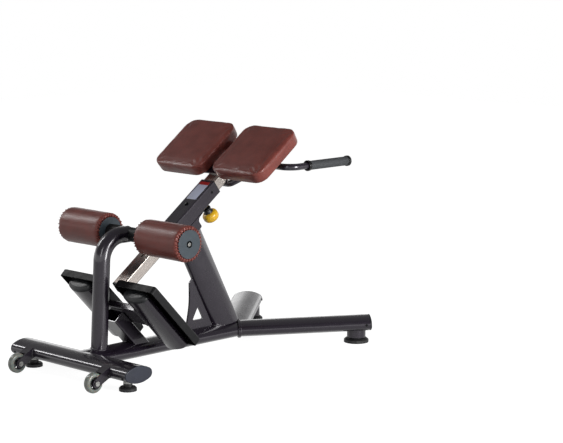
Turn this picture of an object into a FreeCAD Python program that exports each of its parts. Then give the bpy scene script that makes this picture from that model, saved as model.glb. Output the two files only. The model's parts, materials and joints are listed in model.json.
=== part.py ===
"""Roman chair: a 45 degree back-extension bench as an assembly of separate pieces.

+X is the way the user faces, +Y is the user's left, +Z is up.  The pieces are laid out
from the axis of the rear cross tube and then moved so that the origin is the middle of
the bottom of the bounding box.
"""
import FreeCAD, Part
import os
from math import atan2, cos, hypot, pi, radians, sin, tan

V = FreeCAD.Vector

# ---------------------------------------------------------------- driving dimensions, mm
# oval frame tube, shared by the cross tube, beam, legs, column and plate supports
OVAL_WIDE = 120.0
OVAL_DEEP = 60.0
OVAL_WALL = 3.0
OVAL_NOSE = 20.0            # radius of the oval's two narrow ends
BASE_AXIS_Z = 65.0          # height of the cross tube and beam axes
CROSS_HALF = 314.0          # half length of the rear cross tube
CAP_LIP = 6.0               # thickness of a tube cap outside the tube
CAP_SPIGOT = 25.0           # length of a tube cap inside the tube
CAP_WALL = 2.5
PLUG_GAP = 0.2              # all round a plug in its tube
CAP_SCREW_IN = 15.0         # tube's end to the screw that keeps its cap
CAP_SCREW_DIP = 30.0        # degrees that the rear cap screws sit below the tube's nose

# V of front legs
LEG_APEX_X = 741.0          # where the two leg axes cross
LEG_SPLAY = 39.3            # degrees from the beam
LEG_REACH = 524.0           # apex to the open end of the leg tube
LEG_RISE = 14.0             # how much higher the leg's end is than its apex
JOINT_REACH = 22.0          # apex to the beam's side of the joint plate
JOINT_PLATE = 8.0
JOINT_MARGIN = 4.0          # the joint plate stands proud of the tube by this

# column and its rear gusset
PIVOT_BACK = 257.0          # leg apex back to where the column axis meets the slide's line
PIVOT_X = LEG_APEX_X - PIVOT_BACK
PIVOT_Z = 516.0
COLUMN_LEAN = 27.6          # degrees back from upright
GUSSET_THICK = 8.0
GUSSET_TOP_Z = 286.0
GUSSET_REAR_AHEAD = 14.0    # pivot to the gusset's rear foot and to its waist
GUSSET_WAIST_AHEAD = 40.0
GUSSET_REAR_X = PIVOT_X + GUSSET_REAR_AHEAD
GUSSET_WAIST_X = PIVOT_X + GUSSET_WAIST_AHEAD
GUSSET_NOSE = 15.0
GUSSET_SWEEP = 300.0        # radius of the gusset's hollow rear edge
GUSSET_FRAME = 26.0         # width of the metal left round the gusset's window

# sleeve, slide and their bushings; s runs along the slide from the pivot, n across it
SLIDE_ANGLE = 36.4
SLIDE_DROP = 4.0            # the slide's axis lies this far below the pivot
SLEEVE_WIDE = 70.0
SLEEVE_DEEP = 56.0
SLEEVE_WALL = 3.0
SLEEVE_UP = 183.0           # pivot to the sleeve's upper end
SLEEVE_DOWN = 131.0         # pivot to the sleeve's lower end
SLIDE_WIDE = 60.0
SLIDE_DEEP = 45.0
SLIDE_WALL = 2.5
SLIDE_HEAD = 400.0          # pivot to the slide's upper end
SLIDE_CORNER = 5.0
BUSHING_LONG = 60.0
BUSHING_LIP = 3.0
BUSHING_RUN = 0.3           # running gap between a bushing and the slide
TRAVEL = 275.0              # travel of the pads above their lowest position
HOLE_PITCH = 25.0           # pitch of the pop pin's holes
STOP_S = 53.0               # place of the stop screw along the sleeve
STOP_R = 4.0
STOP_GAP = 0.5              # stop screw to the sides and ends of its slot
STOP_HEAD_R = 8.0
STOP_HEAD = 5.6
CHEEK_THICK = 5.0
CHEEK_DROP = 40.0           # how far the cheeks reach below the sleeve
CHEEK_REAR = 45.0           # reach of the cheeks behind and in front of the pivot
CHEEK_FRONT = 88.0
CHEEK_THROAT = 40.0

# pop pin
PIN_S = 118.0
PIN_R = 5.0
PIN_CLEAR = 0.3             # nose of the drawn pin to the slide
PIN_RUN = 0.06              # running gap of the pin in its barrel
BARREL_R = 8.0
BARREL_LONG = 30.0
BARREL_FLANGE_R = 16.5      # grip flange at the barrel's free end
BARREL_FLANGE = 8.0
KNOB_GAP = 0.5              # flange to the knob's skirt
KNOB_R = 30.5
KNOB_LONG = 38.0
KNOB_ROUND = 16.0
KNOB_SKIRT_R = 18.0         # skirt where it meets the knob, and at its free end
KNOB_SKIRT_TOP_R = 13.0
KNOB_SKIRT = 12.0
PIN_IN_KNOB = 28.0

# pads on the slide
PAD_INNER_Y = 42.0
PAD_WIDE = 242.0
PAD_LOW_S = 198.0
PAD_LONG = 250.0
PAD_THICK = 56.0
PAD_CORNER = 45.0
PAD_EDGE = 14.0
BOARD_INSET = 8.0
BOARD_THICK = 13.0
SOFT_GAP = 0.3              # soft or moulded piece to the piece that carries it
BRACKET_THICK = 5.0
BRACKET_WIDE = 50.0
BRACKET_HALF = 215.0
BRACKET_S = (250.0, 372.0)
PAD_BOLT_Y = (95.0, 190.0)
PAD_BOLT_R = 4.0
BOLT_GAP = 0.3              # bolt shank to its clearance hole
BOLT_HEAD_R = 7.0
BOLT_HEAD = 5.0
BOLT_BITE = 10.4            # length of a pad bolt in its board

# handle bar
BAR_R = 12.5
BAR_WALL = 2.5
BAR_S = 240.0               # where it crosses under the slide
BAR_CROSS_HALF = 36.0
BAR_SIDE_AHEAD = 278.0      # pivot to the bar's straight runs across
BAR_SIDE_X = PIVOT_X + BAR_SIDE_AHEAD
BAR_SIDE_Y = 165.0
BAR_SIDE_Z = 704.0
GRIP_Y = 290.0
GRIP_AHEAD = 86.0           # those runs to the grips
GRIP_START_X = BAR_SIDE_X + GRIP_AHEAD
GRIP_LONG = 224.0
GRIP_END_X = GRIP_START_X + GRIP_LONG
BAR_BEND = 45.0
GRIP_R = 17.0
GRIP_COLLAR_R = 20.0
GRIP_COLLAR = 12.0
GRIP_FIT = 0.1              # grip to the bar inside it
GRIP_END_WALL = 5.0

# post and rollers
POST_R = 30.0
POST_WALL = 3.0
POST_BASE_X = 90.0
TAIL_CLEAR = 103.433        # level, from the post's foot to the slide's tail
SLIDE_TAIL = (PIVOT_X - POST_BASE_X - TAIL_CLEAR) / cos(radians(SLIDE_ANGLE))
POST_LEAN = 3.3
POST_BEND = 88.0
ROLLER_X = 231.0
ROLLER_Z = 488.0
CROSS_PIPE_R = 26.0
CROSS_PIPE_WALL = 3.0
AXLE_R = 10.0
AXLE_RUN = 0.08             # running gap of a roller hub on the axle
ROLLER_R = 61.0
ROLLER_IN_Y = 97.0
ROLLER_LONG = 228.0
ROLLER_CORE_R = 27.0
ROLLER_CORE_WALL = 3.0
ROLLER_EDGE = 12.0
DISC_R = 51.0
DISC_THICK = 5.0
DISC_PROUD = 1.0            # discs stand this far out of the foam's ends
DISC_SPIGOT = 22.0
DISC_HOLE_R = 13.0
ROLLER_BOLT_R = 5.0
ROLLER_BOLT_HEAD_R = 8.0
ROLLER_BOLT_HEAD = 4.0
ROLLER_BOLT_LONG = 26.0
ROLLER_BOLT_DRILL = 30.0    # depth of its hole in the axle's end
WASHER_R = 11.5
WASHER_THICK = 2.0
END_PLAY = 0.3              # side play of rollers and wheels
CROSS_PIPE_HALF = ROLLER_IN_Y - END_PLAY

# foot plates; u runs down a plate from its top edge, w is square to it
PLATE_TOP_X = 136.0
PLATE_TOP_Z = 341.0
PLATE_SLOPE = 46.3
PLATE_LONG = 306.0
PLATE_INNER_Y = 50.0
PLATE_WIDE = 203.0
PLATE_SHEET = 3.0
PLATE_RIM = 26.0
PLATE_CORNER = 12.0
MAT_INSET = 5.0
MAT_THICK = 4.0
MAT_RIB = 2.0
MAT_RIB_COUNT = 12
SUPPORT_START = 36.0
SUPPORT_END = 300.0
SUPPORT_DOME = 18.0
CROSSBAR_U = 140.0
CROSSBAR_LONG = 80.0
CROSSBAR_DEEP = 30.0
CROSSBAR_GAP = 1.5          # below the trays' rims
PROP_WIDE = 70.0
PROP_DEEP = 50.0
PROP_WALL = 3.0
PROP_START = 112.0
PROP_CORNER = 5.0
PLATE_SCREW_R = 3.0
PLATE_SCREW_HEAD_R = 6.0
PLATE_SCREW_HEAD = 3.5
PLATE_SCREW_EDGE = 20.0

# transport wheels
WHEEL_X = -113.0
WHEEL_IN = 102.0            # cross tube's end to the wheel
WHEEL_Y = CROSS_HALF - WHEEL_IN
WHEEL_Z = 38.0
WHEEL_R = 35.5
WHEEL_WIDE = 24.0
TYRE_INNER_R = 23.0
TYRE_EDGE = 8.0
HUB_BORE_R = 5.0
HUB_BOSS_R = 11.0
HUB_RIM = 3.0
HUB_SPOKES = 5
HUB_BOSS_OUT = 1.0          # boss stands this far out of the tyre's side
HUB_SPOKE = 5.0
HUB_RECESS = 5.0            # tyre's side to the spokes' side
WHEEL_RUN = 0.08
WEB_GAP = 3.0               # tyre to the fork's web
WEB_INSET = 1.0
FORK_THICK = 5.0
FORK_END_R = 15.0
FORK_ROOT_HIGH = 34.0
FORK_SINK = 14.0            # how far the uncut fork would reach into the cross tube
FORK_SIDE_GAP = 1.5         # wheel to fork arm
WHEEL_BOLT_HEAD_R = 8.5
WHEEL_BOLT_HEAD = 6.0

# levelling feet
REAR_FOOT_IN = 54.0         # cross tube's end to the foot
REAR_FOOT_Y = CROSS_HALF - REAR_FOOT_IN
REAR_FOOT_R = 31.0
REAR_FOOT_HIGH = 15.0
REAR_NECK_R = 16.0
REAR_NECK_TOP = 26.0
FRONT_FOOT_IN = 44.0        # leg tube's end to the foot
FRONT_FOOT_ALONG = LEG_REACH - FRONT_FOOT_IN
FRONT_FOOT_INSET = 18.0     # towards the middle of the V from the leg axis
FRONT_FOOT_R = 47.5
FRONT_FOOT_HIGH = 17.0
FRONT_NECK_R = 26.0
FRONT_NECK_TOP = 20.0
STUD_R = 6.0
STUD_RUN = 0.08
STUB_R = 36.0
STUB_WALL = 3.0
STUB_FLOOR = 6.0
NUT_HIGH = 12.0
NUT_R = 11.0
FOOT_SEAT = 0.3             # neck of a foot to the face it screws up to
FOOT_FACETS = 16
FOOT_SHOULDER = 0.6         # share of a foot's height below its chamfer
FOOT_TOP_SHARE = 0.84       # radius of a foot's top over that of its base
SMALL_SCREW_R = 2.5
SMALL_SCREW_HEAD_R = 5.0
SMALL_SCREW_HEAD = 2.5

# ---------------------------------------------------------------- helpers


def frame(origin, ex, ez):
    """Placement whose local X and Z axes are ex and ez."""
    ex = V(ex).normalize()
    ez = V(ez).normalize()
    return FreeCAD.Placement(origin, FreeCAD.Rotation(ex, ez.cross(ex), ez, "XZY"))


def moved(shape, place):
    """Copy of a shape set in a placement."""
    out = shape.copy()
    out.Placement = place.multiply(out.Placement)
    return out


def mirrored(shape):
    """The same piece on the other side of the XZ plane."""
    return shape.mirror(V(0, 0, 0), V(0, 1, 0))


def both(shape):
    """A piece and its mirror image in one node."""
    return Part.Compound([shape, mirrored(shape)])


def cut(shape, *tools):
    """Shape less the tools, as one clean solid where it stays in one piece."""
    out = shape.cut(list(tools)).removeSplitter()
    return out.Solids[0] if len(out.Solids) == 1 else out


def joined(*shapes):
    """Shapes fused to one clean solid."""
    out = shapes[0].fuse(list(shapes[1:])).removeSplitter()
    return out.Solids[0] if len(out.Solids) == 1 else out


def biggest(shape):
    """The largest solid of a cut that left scraps."""
    return max(shape.Solids, key=lambda solid: solid.Volume)


def cylinder(radius, start, end):
    """Solid cylinder from one point to another."""
    return Part.makeCylinder(radius, (end - start).Length, start, end - start)


def ring(outer, inner, start, end):
    """Hollow cylinder from one point to another."""
    axis = V(end - start).normalize()
    return cylinder(outer, start, end).cut(cylinder(inner, start - axis, end + axis))


def oval(wide, deep, start, end):
    """Solid oval bar along X, wide in Y and deep in Z: two nose arcs and two flat arcs, all tangent."""
    long_half = max(wide, deep) / 2
    short_half = min(wide, deep) / 2
    nose = OVAL_NOSE + short_half - OVAL_DEEP / 2
    nose_at = long_half - nose
    flat = (nose_at ** 2 + short_half ** 2 - nose ** 2) / (2 * (short_half - nose))
    share = nose / (flat - nose)
    meet = (nose_at * (1 + share), (flat - short_half) * share)

    def rim_point(u, v):
        return V(start, u, v) if wide >= deep else V(start, v, u)

    corners = [rim_point(i * meet[0], j * meet[1]) for i, j in ((1, 1), (-1, 1), (-1, -1), (1, -1))]
    crowns = [rim_point(0, short_half), rim_point(-long_half, 0)]
    crowns += [rim_point(0, -short_half), rim_point(long_half, 0)]
    arcs = [Part.Arc(corners[i], crowns[i], corners[(i + 1) % 4]).toShape() for i in range(4)]
    return Part.Face(Part.Wire(arcs)).extrude(V(end - start, 0, 0))


def oval_tube(wide, deep, start, end):
    """Hollow oval tube along X with the frame tube's wall."""
    bore = oval(wide - 2 * OVAL_WALL, deep - 2 * OVAL_WALL, start - 1, end + 1)
    return oval(wide, deep, start, end).cut(bore)


def bar(start, end, wide, deep, corner=0.0):
    """Box along X, wide in Y and deep in Z, with its long edges rounded."""
    box = Part.makeBox(end - start, wide, deep, V(start, -wide / 2, -deep / 2))
    if corner <= 0:
        return box
    long_edges = [e for e in box.Edges if abs(e.tangentAt(e.FirstParameter).x) > 0.9]
    return box.makeFillet(corner, long_edges)


def square_tube(start, end, wide, deep, wall, corner):
    """Hollow rectangular tube along X."""
    inside = max(corner - wall, 0.5)
    bore = bar(start - 1, end + 1, wide - 2 * wall, deep - 2 * wall, inside)
    return bar(start, end, wide, deep, corner).cut(bore)


def bent_path(points, radius):
    """Straight runs through the points, joined by tangent arcs of one radius."""
    edges = []
    last = points[0]
    for before, corner, after in zip(points, points[1:], points[2:]):
        back = V(before - corner).normalize()
        ahead = V(after - corner).normalize()
        half = back.getAngle(ahead) / 2
        reach = radius / tan(half)
        start = corner + back * reach
        end = corner + ahead * reach
        middle = V(back + ahead).normalize()
        crown = corner + middle * (radius / sin(half) - radius)
        edges.append(Part.LineSegment(last, start).toShape())
        edges.append(Part.Arc(start, crown, end).toShape())
        last = end
    edges.append(Part.LineSegment(last, points[-1]).toShape())
    return Part.Wire(edges)


def bent_rod(points, bend, radius):
    """Round bar along a bent path."""
    circle = Part.Wire(Part.makeCircle(radius, points[0], points[1] - points[0]))
    return bent_path(points, bend).makePipeShell([circle], True, False)


def outline(points, fillets, thick, middle=0.0):
    """Plate in the XZ plane from corner points (x, z), each with its own fillet."""
    edges = []
    count = len(points)
    ends = []
    for i in range(count):
        corner = V(points[i][0], 0, points[i][1])
        before = V(points[i - 1][0], 0, points[i - 1][1])
        after = V(points[(i + 1) % count][0], 0, points[(i + 1) % count][1])
        if fillets[i] <= 0:
            ends.append((corner, None, corner))
            continue
        back = V(before - corner).normalize()
        ahead = V(after - corner).normalize()
        half = back.getAngle(ahead) / 2
        reach = fillets[i] / tan(half)
        crown = corner + V(back + ahead).normalize() * (fillets[i] / sin(half) - fillets[i])
        ends.append((corner + back * reach, crown, corner + ahead * reach))
    for i in range(count):
        start, crown, end = ends[i]
        if crown is not None:
            edges.append(Part.Arc(start, crown, end).toShape())
        edges.append(Part.LineSegment(end, ends[(i + 1) % count][0]).toShape())
    plate = Part.Face(Part.Wire(edges)).extrude(V(0, thick, 0))
    plate.translate(V(0, middle - thick / 2, 0))
    return plate


def screw(head_r, head, shank_r, length, place):
    """Button head screw: head outward along local +Z, shank inward from Z = 0."""
    crown = Part.makeCylinder(head_r, head)
    crown = crown.makeChamfer(head * 0.5, [e for e in crown.Edges if e.CenterOfMass.z > head * 0.9])
    socket = Part.makeCylinder(shank_r * 0.6, head, V(0, 0, head * 0.4))
    shank = Part.makeCylinder(shank_r, length, V(0, 0, -length))
    return moved(crown.cut(socket).fuse(shank).removeSplitter().Solids[0], place)


def hexagon(across, start, end, bore):
    """Hex nut or head between two points on its axis."""
    axis = end - start
    place = frame(start, V(0, 0, 1) if abs(axis.y) > abs(axis.z) else V(1, 0, 0), axis)
    corner = across / 3 ** 0.5
    ring_points = [V(corner * cos(pi * i / 3), corner * sin(pi * i / 3), 0) for i in range(7)]
    body = Part.Face(Part.makePolygon(ring_points)).extrude(V(0, 0, axis.Length))
    if bore:
        body = body.cut(Part.makeCylinder(bore, axis.Length + 2, V(0, 0, -1)))
    return moved(body, place)


# ---------------------------------------------------------------- reference frames

CROSS_AXIS = frame(V(0, 0, BASE_AXIS_Z), V(0, 1, 0), V(0, 0, 1))
BEAM_AXIS = frame(V(0, 0, BASE_AXIS_Z), V(1, 0, 0), V(0, 0, 1))

splay = radians(LEG_SPLAY)
leg_plan = V(cos(splay), sin(splay), 0)
leg_dir = V(leg_plan.x * LEG_REACH, leg_plan.y * LEG_REACH, LEG_RISE).normalize()
LEG_APEX = V(LEG_APEX_X, 0, BASE_AXIS_Z)
LEG_AXIS = frame(LEG_APEX, leg_dir, V(0, 0, 1) - leg_dir * leg_dir.z)

lean = radians(COLUMN_LEAN)
COLUMN_AXIS = frame(V(PIVOT_X, 0, PIVOT_Z), V(-sin(lean), 0, cos(lean)), V(cos(lean), 0, sin(lean)))

rise = radians(SLIDE_ANGLE)
slide_dir = V(cos(rise), 0, sin(rise))
slide_up = V(-sin(rise), 0, cos(rise))
SLIDE_AXIS = frame(V(PIVOT_X, 0, PIVOT_Z) - slide_up * SLIDE_DROP, slide_dir, slide_up)

fall = radians(PLATE_SLOPE)
plate_dir = V(cos(fall), 0, -sin(fall))
plate_up = V(sin(fall), 0, cos(fall))
PLATE_AXIS = frame(V(PLATE_TOP_X, 0, PLATE_TOP_Z), plate_dir, plate_up)
PLATE_MID_Y = PLATE_INNER_Y + PLATE_WIDE / 2

SLIDE_TOP = SLIDE_DEEP / 2
SLEEVE_TOP = SLEEVE_DEEP / 2
BAR_N = -SLIDE_TOP - BAR_R


def on_slide(s, y, n):
    """Point given along, beside and across the slide."""
    return SLIDE_AXIS.multVec(V(s, y, n))


def behind_joint(reach):
    """Everything on the beam's side of a joint plane that far along the left leg."""
    big = 1000.0
    place = frame(LEG_APEX + leg_plan * reach, leg_plan, V(0, 0, 1))
    return moved(Part.makeBox(big, 2 * big, 2 * big, V(-big, -big, -big)), place)


def right_half():
    """Everything with Y below zero."""
    big = 2000.0
    return Part.makeBox(2 * big, big, big, V(-big, -big, -big / 2))


# ---------------------------------------------------------------- base


def tube_cap():
    """Oval cap along X: lip from 0 to CAP_LIP, hollow spigot behind it."""
    lip = oval(OVAL_WIDE, OVAL_DEEP, 0, CAP_LIP)
    lip = lip.makeFillet(CAP_LIP * 0.45, [e for e in lip.Edges if e.CenterOfMass.x > CAP_LIP * 0.9])
    wide = OVAL_WIDE - 2 * OVAL_WALL - 2 * PLUG_GAP
    deep = OVAL_DEEP - 2 * OVAL_WALL - 2 * PLUG_GAP
    spigot = oval(wide, deep, -CAP_SPIGOT, 0)
    hollow = oval(wide - 2 * CAP_WALL, deep - 2 * CAP_WALL, -CAP_SPIGOT - 1, 0)
    return joined(lip, spigot.cut(hollow))


def small_screw(point, outward):
    """Retaining screw through a tube wall, with its head on the wall."""
    across = V(0, 1, 0) if abs(outward.y) < 0.9 else V(1, 0, 0)
    place = frame(point, across.cross(outward), outward)
    length = OVAL_WALL + CAP_WALL
    return screw(SMALL_SCREW_HEAD_R, SMALL_SCREW_HEAD, SMALL_SCREW_R, length, place)


def small_screw_hole(point, outward):
    """Hole that a retaining screw fills."""
    reach = OVAL_WALL + CAP_WALL + 1
    return cylinder(SMALL_SCREW_R, point + outward, point - outward * reach)


def leveller(x, y, base_r, base_high, neck_r, neck_top, stud_top):
    """Levelling foot: faceted rubber base with a neck, and its threaded stud."""
    corners = [V(base_r * cos(2 * pi * i / FOOT_FACETS), base_r * sin(2 * pi * i / FOOT_FACETS), 0)
               for i in range(FOOT_FACETS + 1)]
    base = Part.Face(Part.makePolygon(corners)).extrude(V(0, 0, base_high))
    shoulder = base_high * FOOT_SHOULDER
    envelope = Part.makeCylinder(base_r + 1, shoulder)
    envelope = envelope.fuse(Part.makeCone(base_r + 1, base_r * FOOT_TOP_SHARE, base_high - shoulder,
                                           V(0, 0, shoulder)))
    base = base.common(envelope)
    neck = Part.makeCylinder(neck_r, neck_top)
    stud = Part.makeCylinder(STUD_R, stud_top - shoulder, V(0, 0, shoulder))
    foot = joined(base, neck, stud)
    foot.translate(V(x, y, 0))
    return foot


def foot_nut(x, y, floor_z):
    """Threaded insert that a foot's stud screws through."""
    return ring(NUT_R, STUD_R + STUD_RUN, V(x, y, floor_z), V(x, y, floor_z + NUT_HIGH))


def base_pieces(parts, screws):
    """Cross tube, beam, legs, joint plate, caps, stubs and levelling feet."""
    cross_solid = moved(oval(OVAL_WIDE, OVAL_DEEP, -CROSS_HALF, CROSS_HALF), CROSS_AXIS)
    cross = moved(oval_tube(OVAL_WIDE, OVAL_DEEP, -CROSS_HALF, CROSS_HALF), CROSS_AXIS)
    cross_floor = BASE_AXIS_Z - OVAL_DEEP / 2
    stud_way = Part.makeCylinder(STUD_R + STUD_RUN, OVAL_DEEP, V(0, REAR_FOOT_Y, 0))
    dip = radians(CAP_SCREW_DIP)
    outward = V(-cos(dip), 0, -sin(dip))
    nose_axis = V(OVAL_NOSE - OVAL_WIDE / 2, CROSS_HALF - CAP_SCREW_IN, BASE_AXIS_Z)
    screw_at = nose_axis + outward * OVAL_NOSE
    hole = small_screw_hole(screw_at, outward)
    cross = cut(cross, stud_way, mirrored(stud_way), hole, mirrored(hole))
    rear_cap = moved(tube_cap(), frame(V(0, CROSS_HALF, BASE_AXIS_Z), V(0, 1, 0), V(0, 0, 1)))
    rear_cap = cut(rear_cap, hole)
    screws.append(small_screw(screw_at, outward))
    parts["rear_cross_tube"] = cross
    parts["rear_caps"] = both(rear_cap)

    plate_outline = oval(OVAL_WIDE + 2 * JOINT_MARGIN, OVAL_DEEP + 2 * JOINT_MARGIN,
                         JOINT_REACH, JOINT_REACH + JOINT_PLATE)
    plate_place = frame(LEG_APEX, leg_plan, V(0, 0, 1))
    half_plate = cut(moved(plate_outline, plate_place), right_half())
    joint_plate = joined(half_plate, mirrored(half_plate))
    parts["leg_joint_plate"] = joint_plate

    ahead = LEG_APEX_X + OVAL_WIDE
    beyond_joint = moved(Part.makeBox(2 * ahead, 2 * ahead, ahead, V(0, -ahead, -ahead / 2)),
                         frame(LEG_APEX + leg_plan * JOINT_REACH, leg_plan, V(0, 0, 1)))
    beam_solid = moved(oval(OVAL_WIDE, OVAL_DEEP, 0, ahead), BEAM_AXIS)
    beam = moved(oval_tube(OVAL_WIDE, OVAL_DEEP, 0, ahead), BEAM_AXIS)
    beam = biggest(beam.cut([cross_solid, beyond_joint, mirrored(beyond_joint)]))

    leg_start = -OVAL_WIDE
    leg_solid = moved(oval(OVAL_WIDE, OVAL_DEEP, leg_start, LEG_REACH), LEG_AXIS)
    leg = moved(oval_tube(OVAL_WIDE, OVAL_DEEP, leg_start, LEG_REACH), LEG_AXIS)
    leg = biggest(leg.cut([behind_joint(JOINT_REACH + JOINT_PLATE), right_half()]))
    cap_screw_at = LEG_AXIS.multVec(V(LEG_REACH - CAP_SCREW_IN, -OVAL_WIDE / 2, 0))
    inward = LEG_AXIS.Rotation.multVec(V(0, 1, 0))
    hole = small_screw_hole(cap_screw_at, inward * -1)
    screws.append(small_screw(cap_screw_at, inward * -1))
    outer_screw_at = LEG_AXIS.multVec(V(LEG_REACH - CAP_SCREW_IN, OVAL_WIDE / 2, 0))
    outer_hole = small_screw_hole(outer_screw_at, inward)
    screws.append(small_screw(outer_screw_at, inward))
    cap_place = LEG_AXIS.multiply(FreeCAD.Placement(V(LEG_REACH, 0, 0), FreeCAD.Rotation()))
    front_cap = cut(moved(tube_cap(), cap_place), hole, outer_hole)

    foot_at = LEG_AXIS.multVec(V(FRONT_FOOT_ALONG, -FRONT_FOOT_INSET, 0))
    stub_floor = FRONT_NECK_TOP + FOOT_SEAT
    up = V(0, 0, 1)
    base_point = V(foot_at.x, foot_at.y, 0)
    stub = cylinder(STUB_R, base_point + up * stub_floor, base_point + up * foot_at.z)
    hollow = cylinder(STUB_R - STUB_WALL, base_point + up * (stub_floor + STUB_FLOOR),
                      base_point + up * foot_at.z)
    stud_hole = cylinder(STUD_R + STUD_RUN, base_point, base_point + up * foot_at.z)
    stub = biggest(stub.cut([hollow, stud_hole, leg_solid]))
    leg = cut(leg, hole, outer_hole)

    rear_stud_top = cross_floor + OVAL_WALL + NUT_HIGH + 3
    front_nut_z = stub_floor + STUB_FLOOR
    rear_foot = leveller(0, REAR_FOOT_Y, REAR_FOOT_R, REAR_FOOT_HIGH, REAR_NECK_R,
                         REAR_NECK_TOP, rear_stud_top)
    front_foot = leveller(foot_at.x, foot_at.y, FRONT_FOOT_R, FRONT_FOOT_HIGH, FRONT_NECK_R,
                          FRONT_NECK_TOP, front_nut_z + NUT_HIGH)
    spacer = ring(REAR_NECK_R, STUD_R + STUD_RUN, V(0, REAR_FOOT_Y, REAR_NECK_TOP + FOOT_SEAT),
                  V(0, REAR_FOOT_Y, BASE_AXIS_Z)).cut(cross_solid)
    rear_nut = foot_nut(0, REAR_FOOT_Y, cross_floor)
    rear_nut = rear_nut.common(moved(oval(OVAL_WIDE - 2 * OVAL_WALL, OVAL_DEEP - 2 * OVAL_WALL,
                                          -CROSS_HALF, CROSS_HALF), CROSS_AXIS))
    front_nut = foot_nut(foot_at.x, foot_at.y, front_nut_z)
    parts["main_beam"] = beam
    parts["foot_nuts"] = Part.Compound([both(rear_nut), both(biggest(spacer)), both(front_nut)])
    parts["front_caps"] = both(front_cap)
    parts["foot_stubs"] = both(stub)
    for side, turn in (("left", lambda shape: shape), ("right", mirrored)):
        parts["front_leg_" + side] = turn(leg)
        parts["rear_foot_" + side] = turn(rear_foot)
        parts["front_foot_" + side] = turn(front_foot)
    return cross_solid, beam_solid, leg_solid, joint_plate


# ---------------------------------------------------------------- column and sleeve


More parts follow.
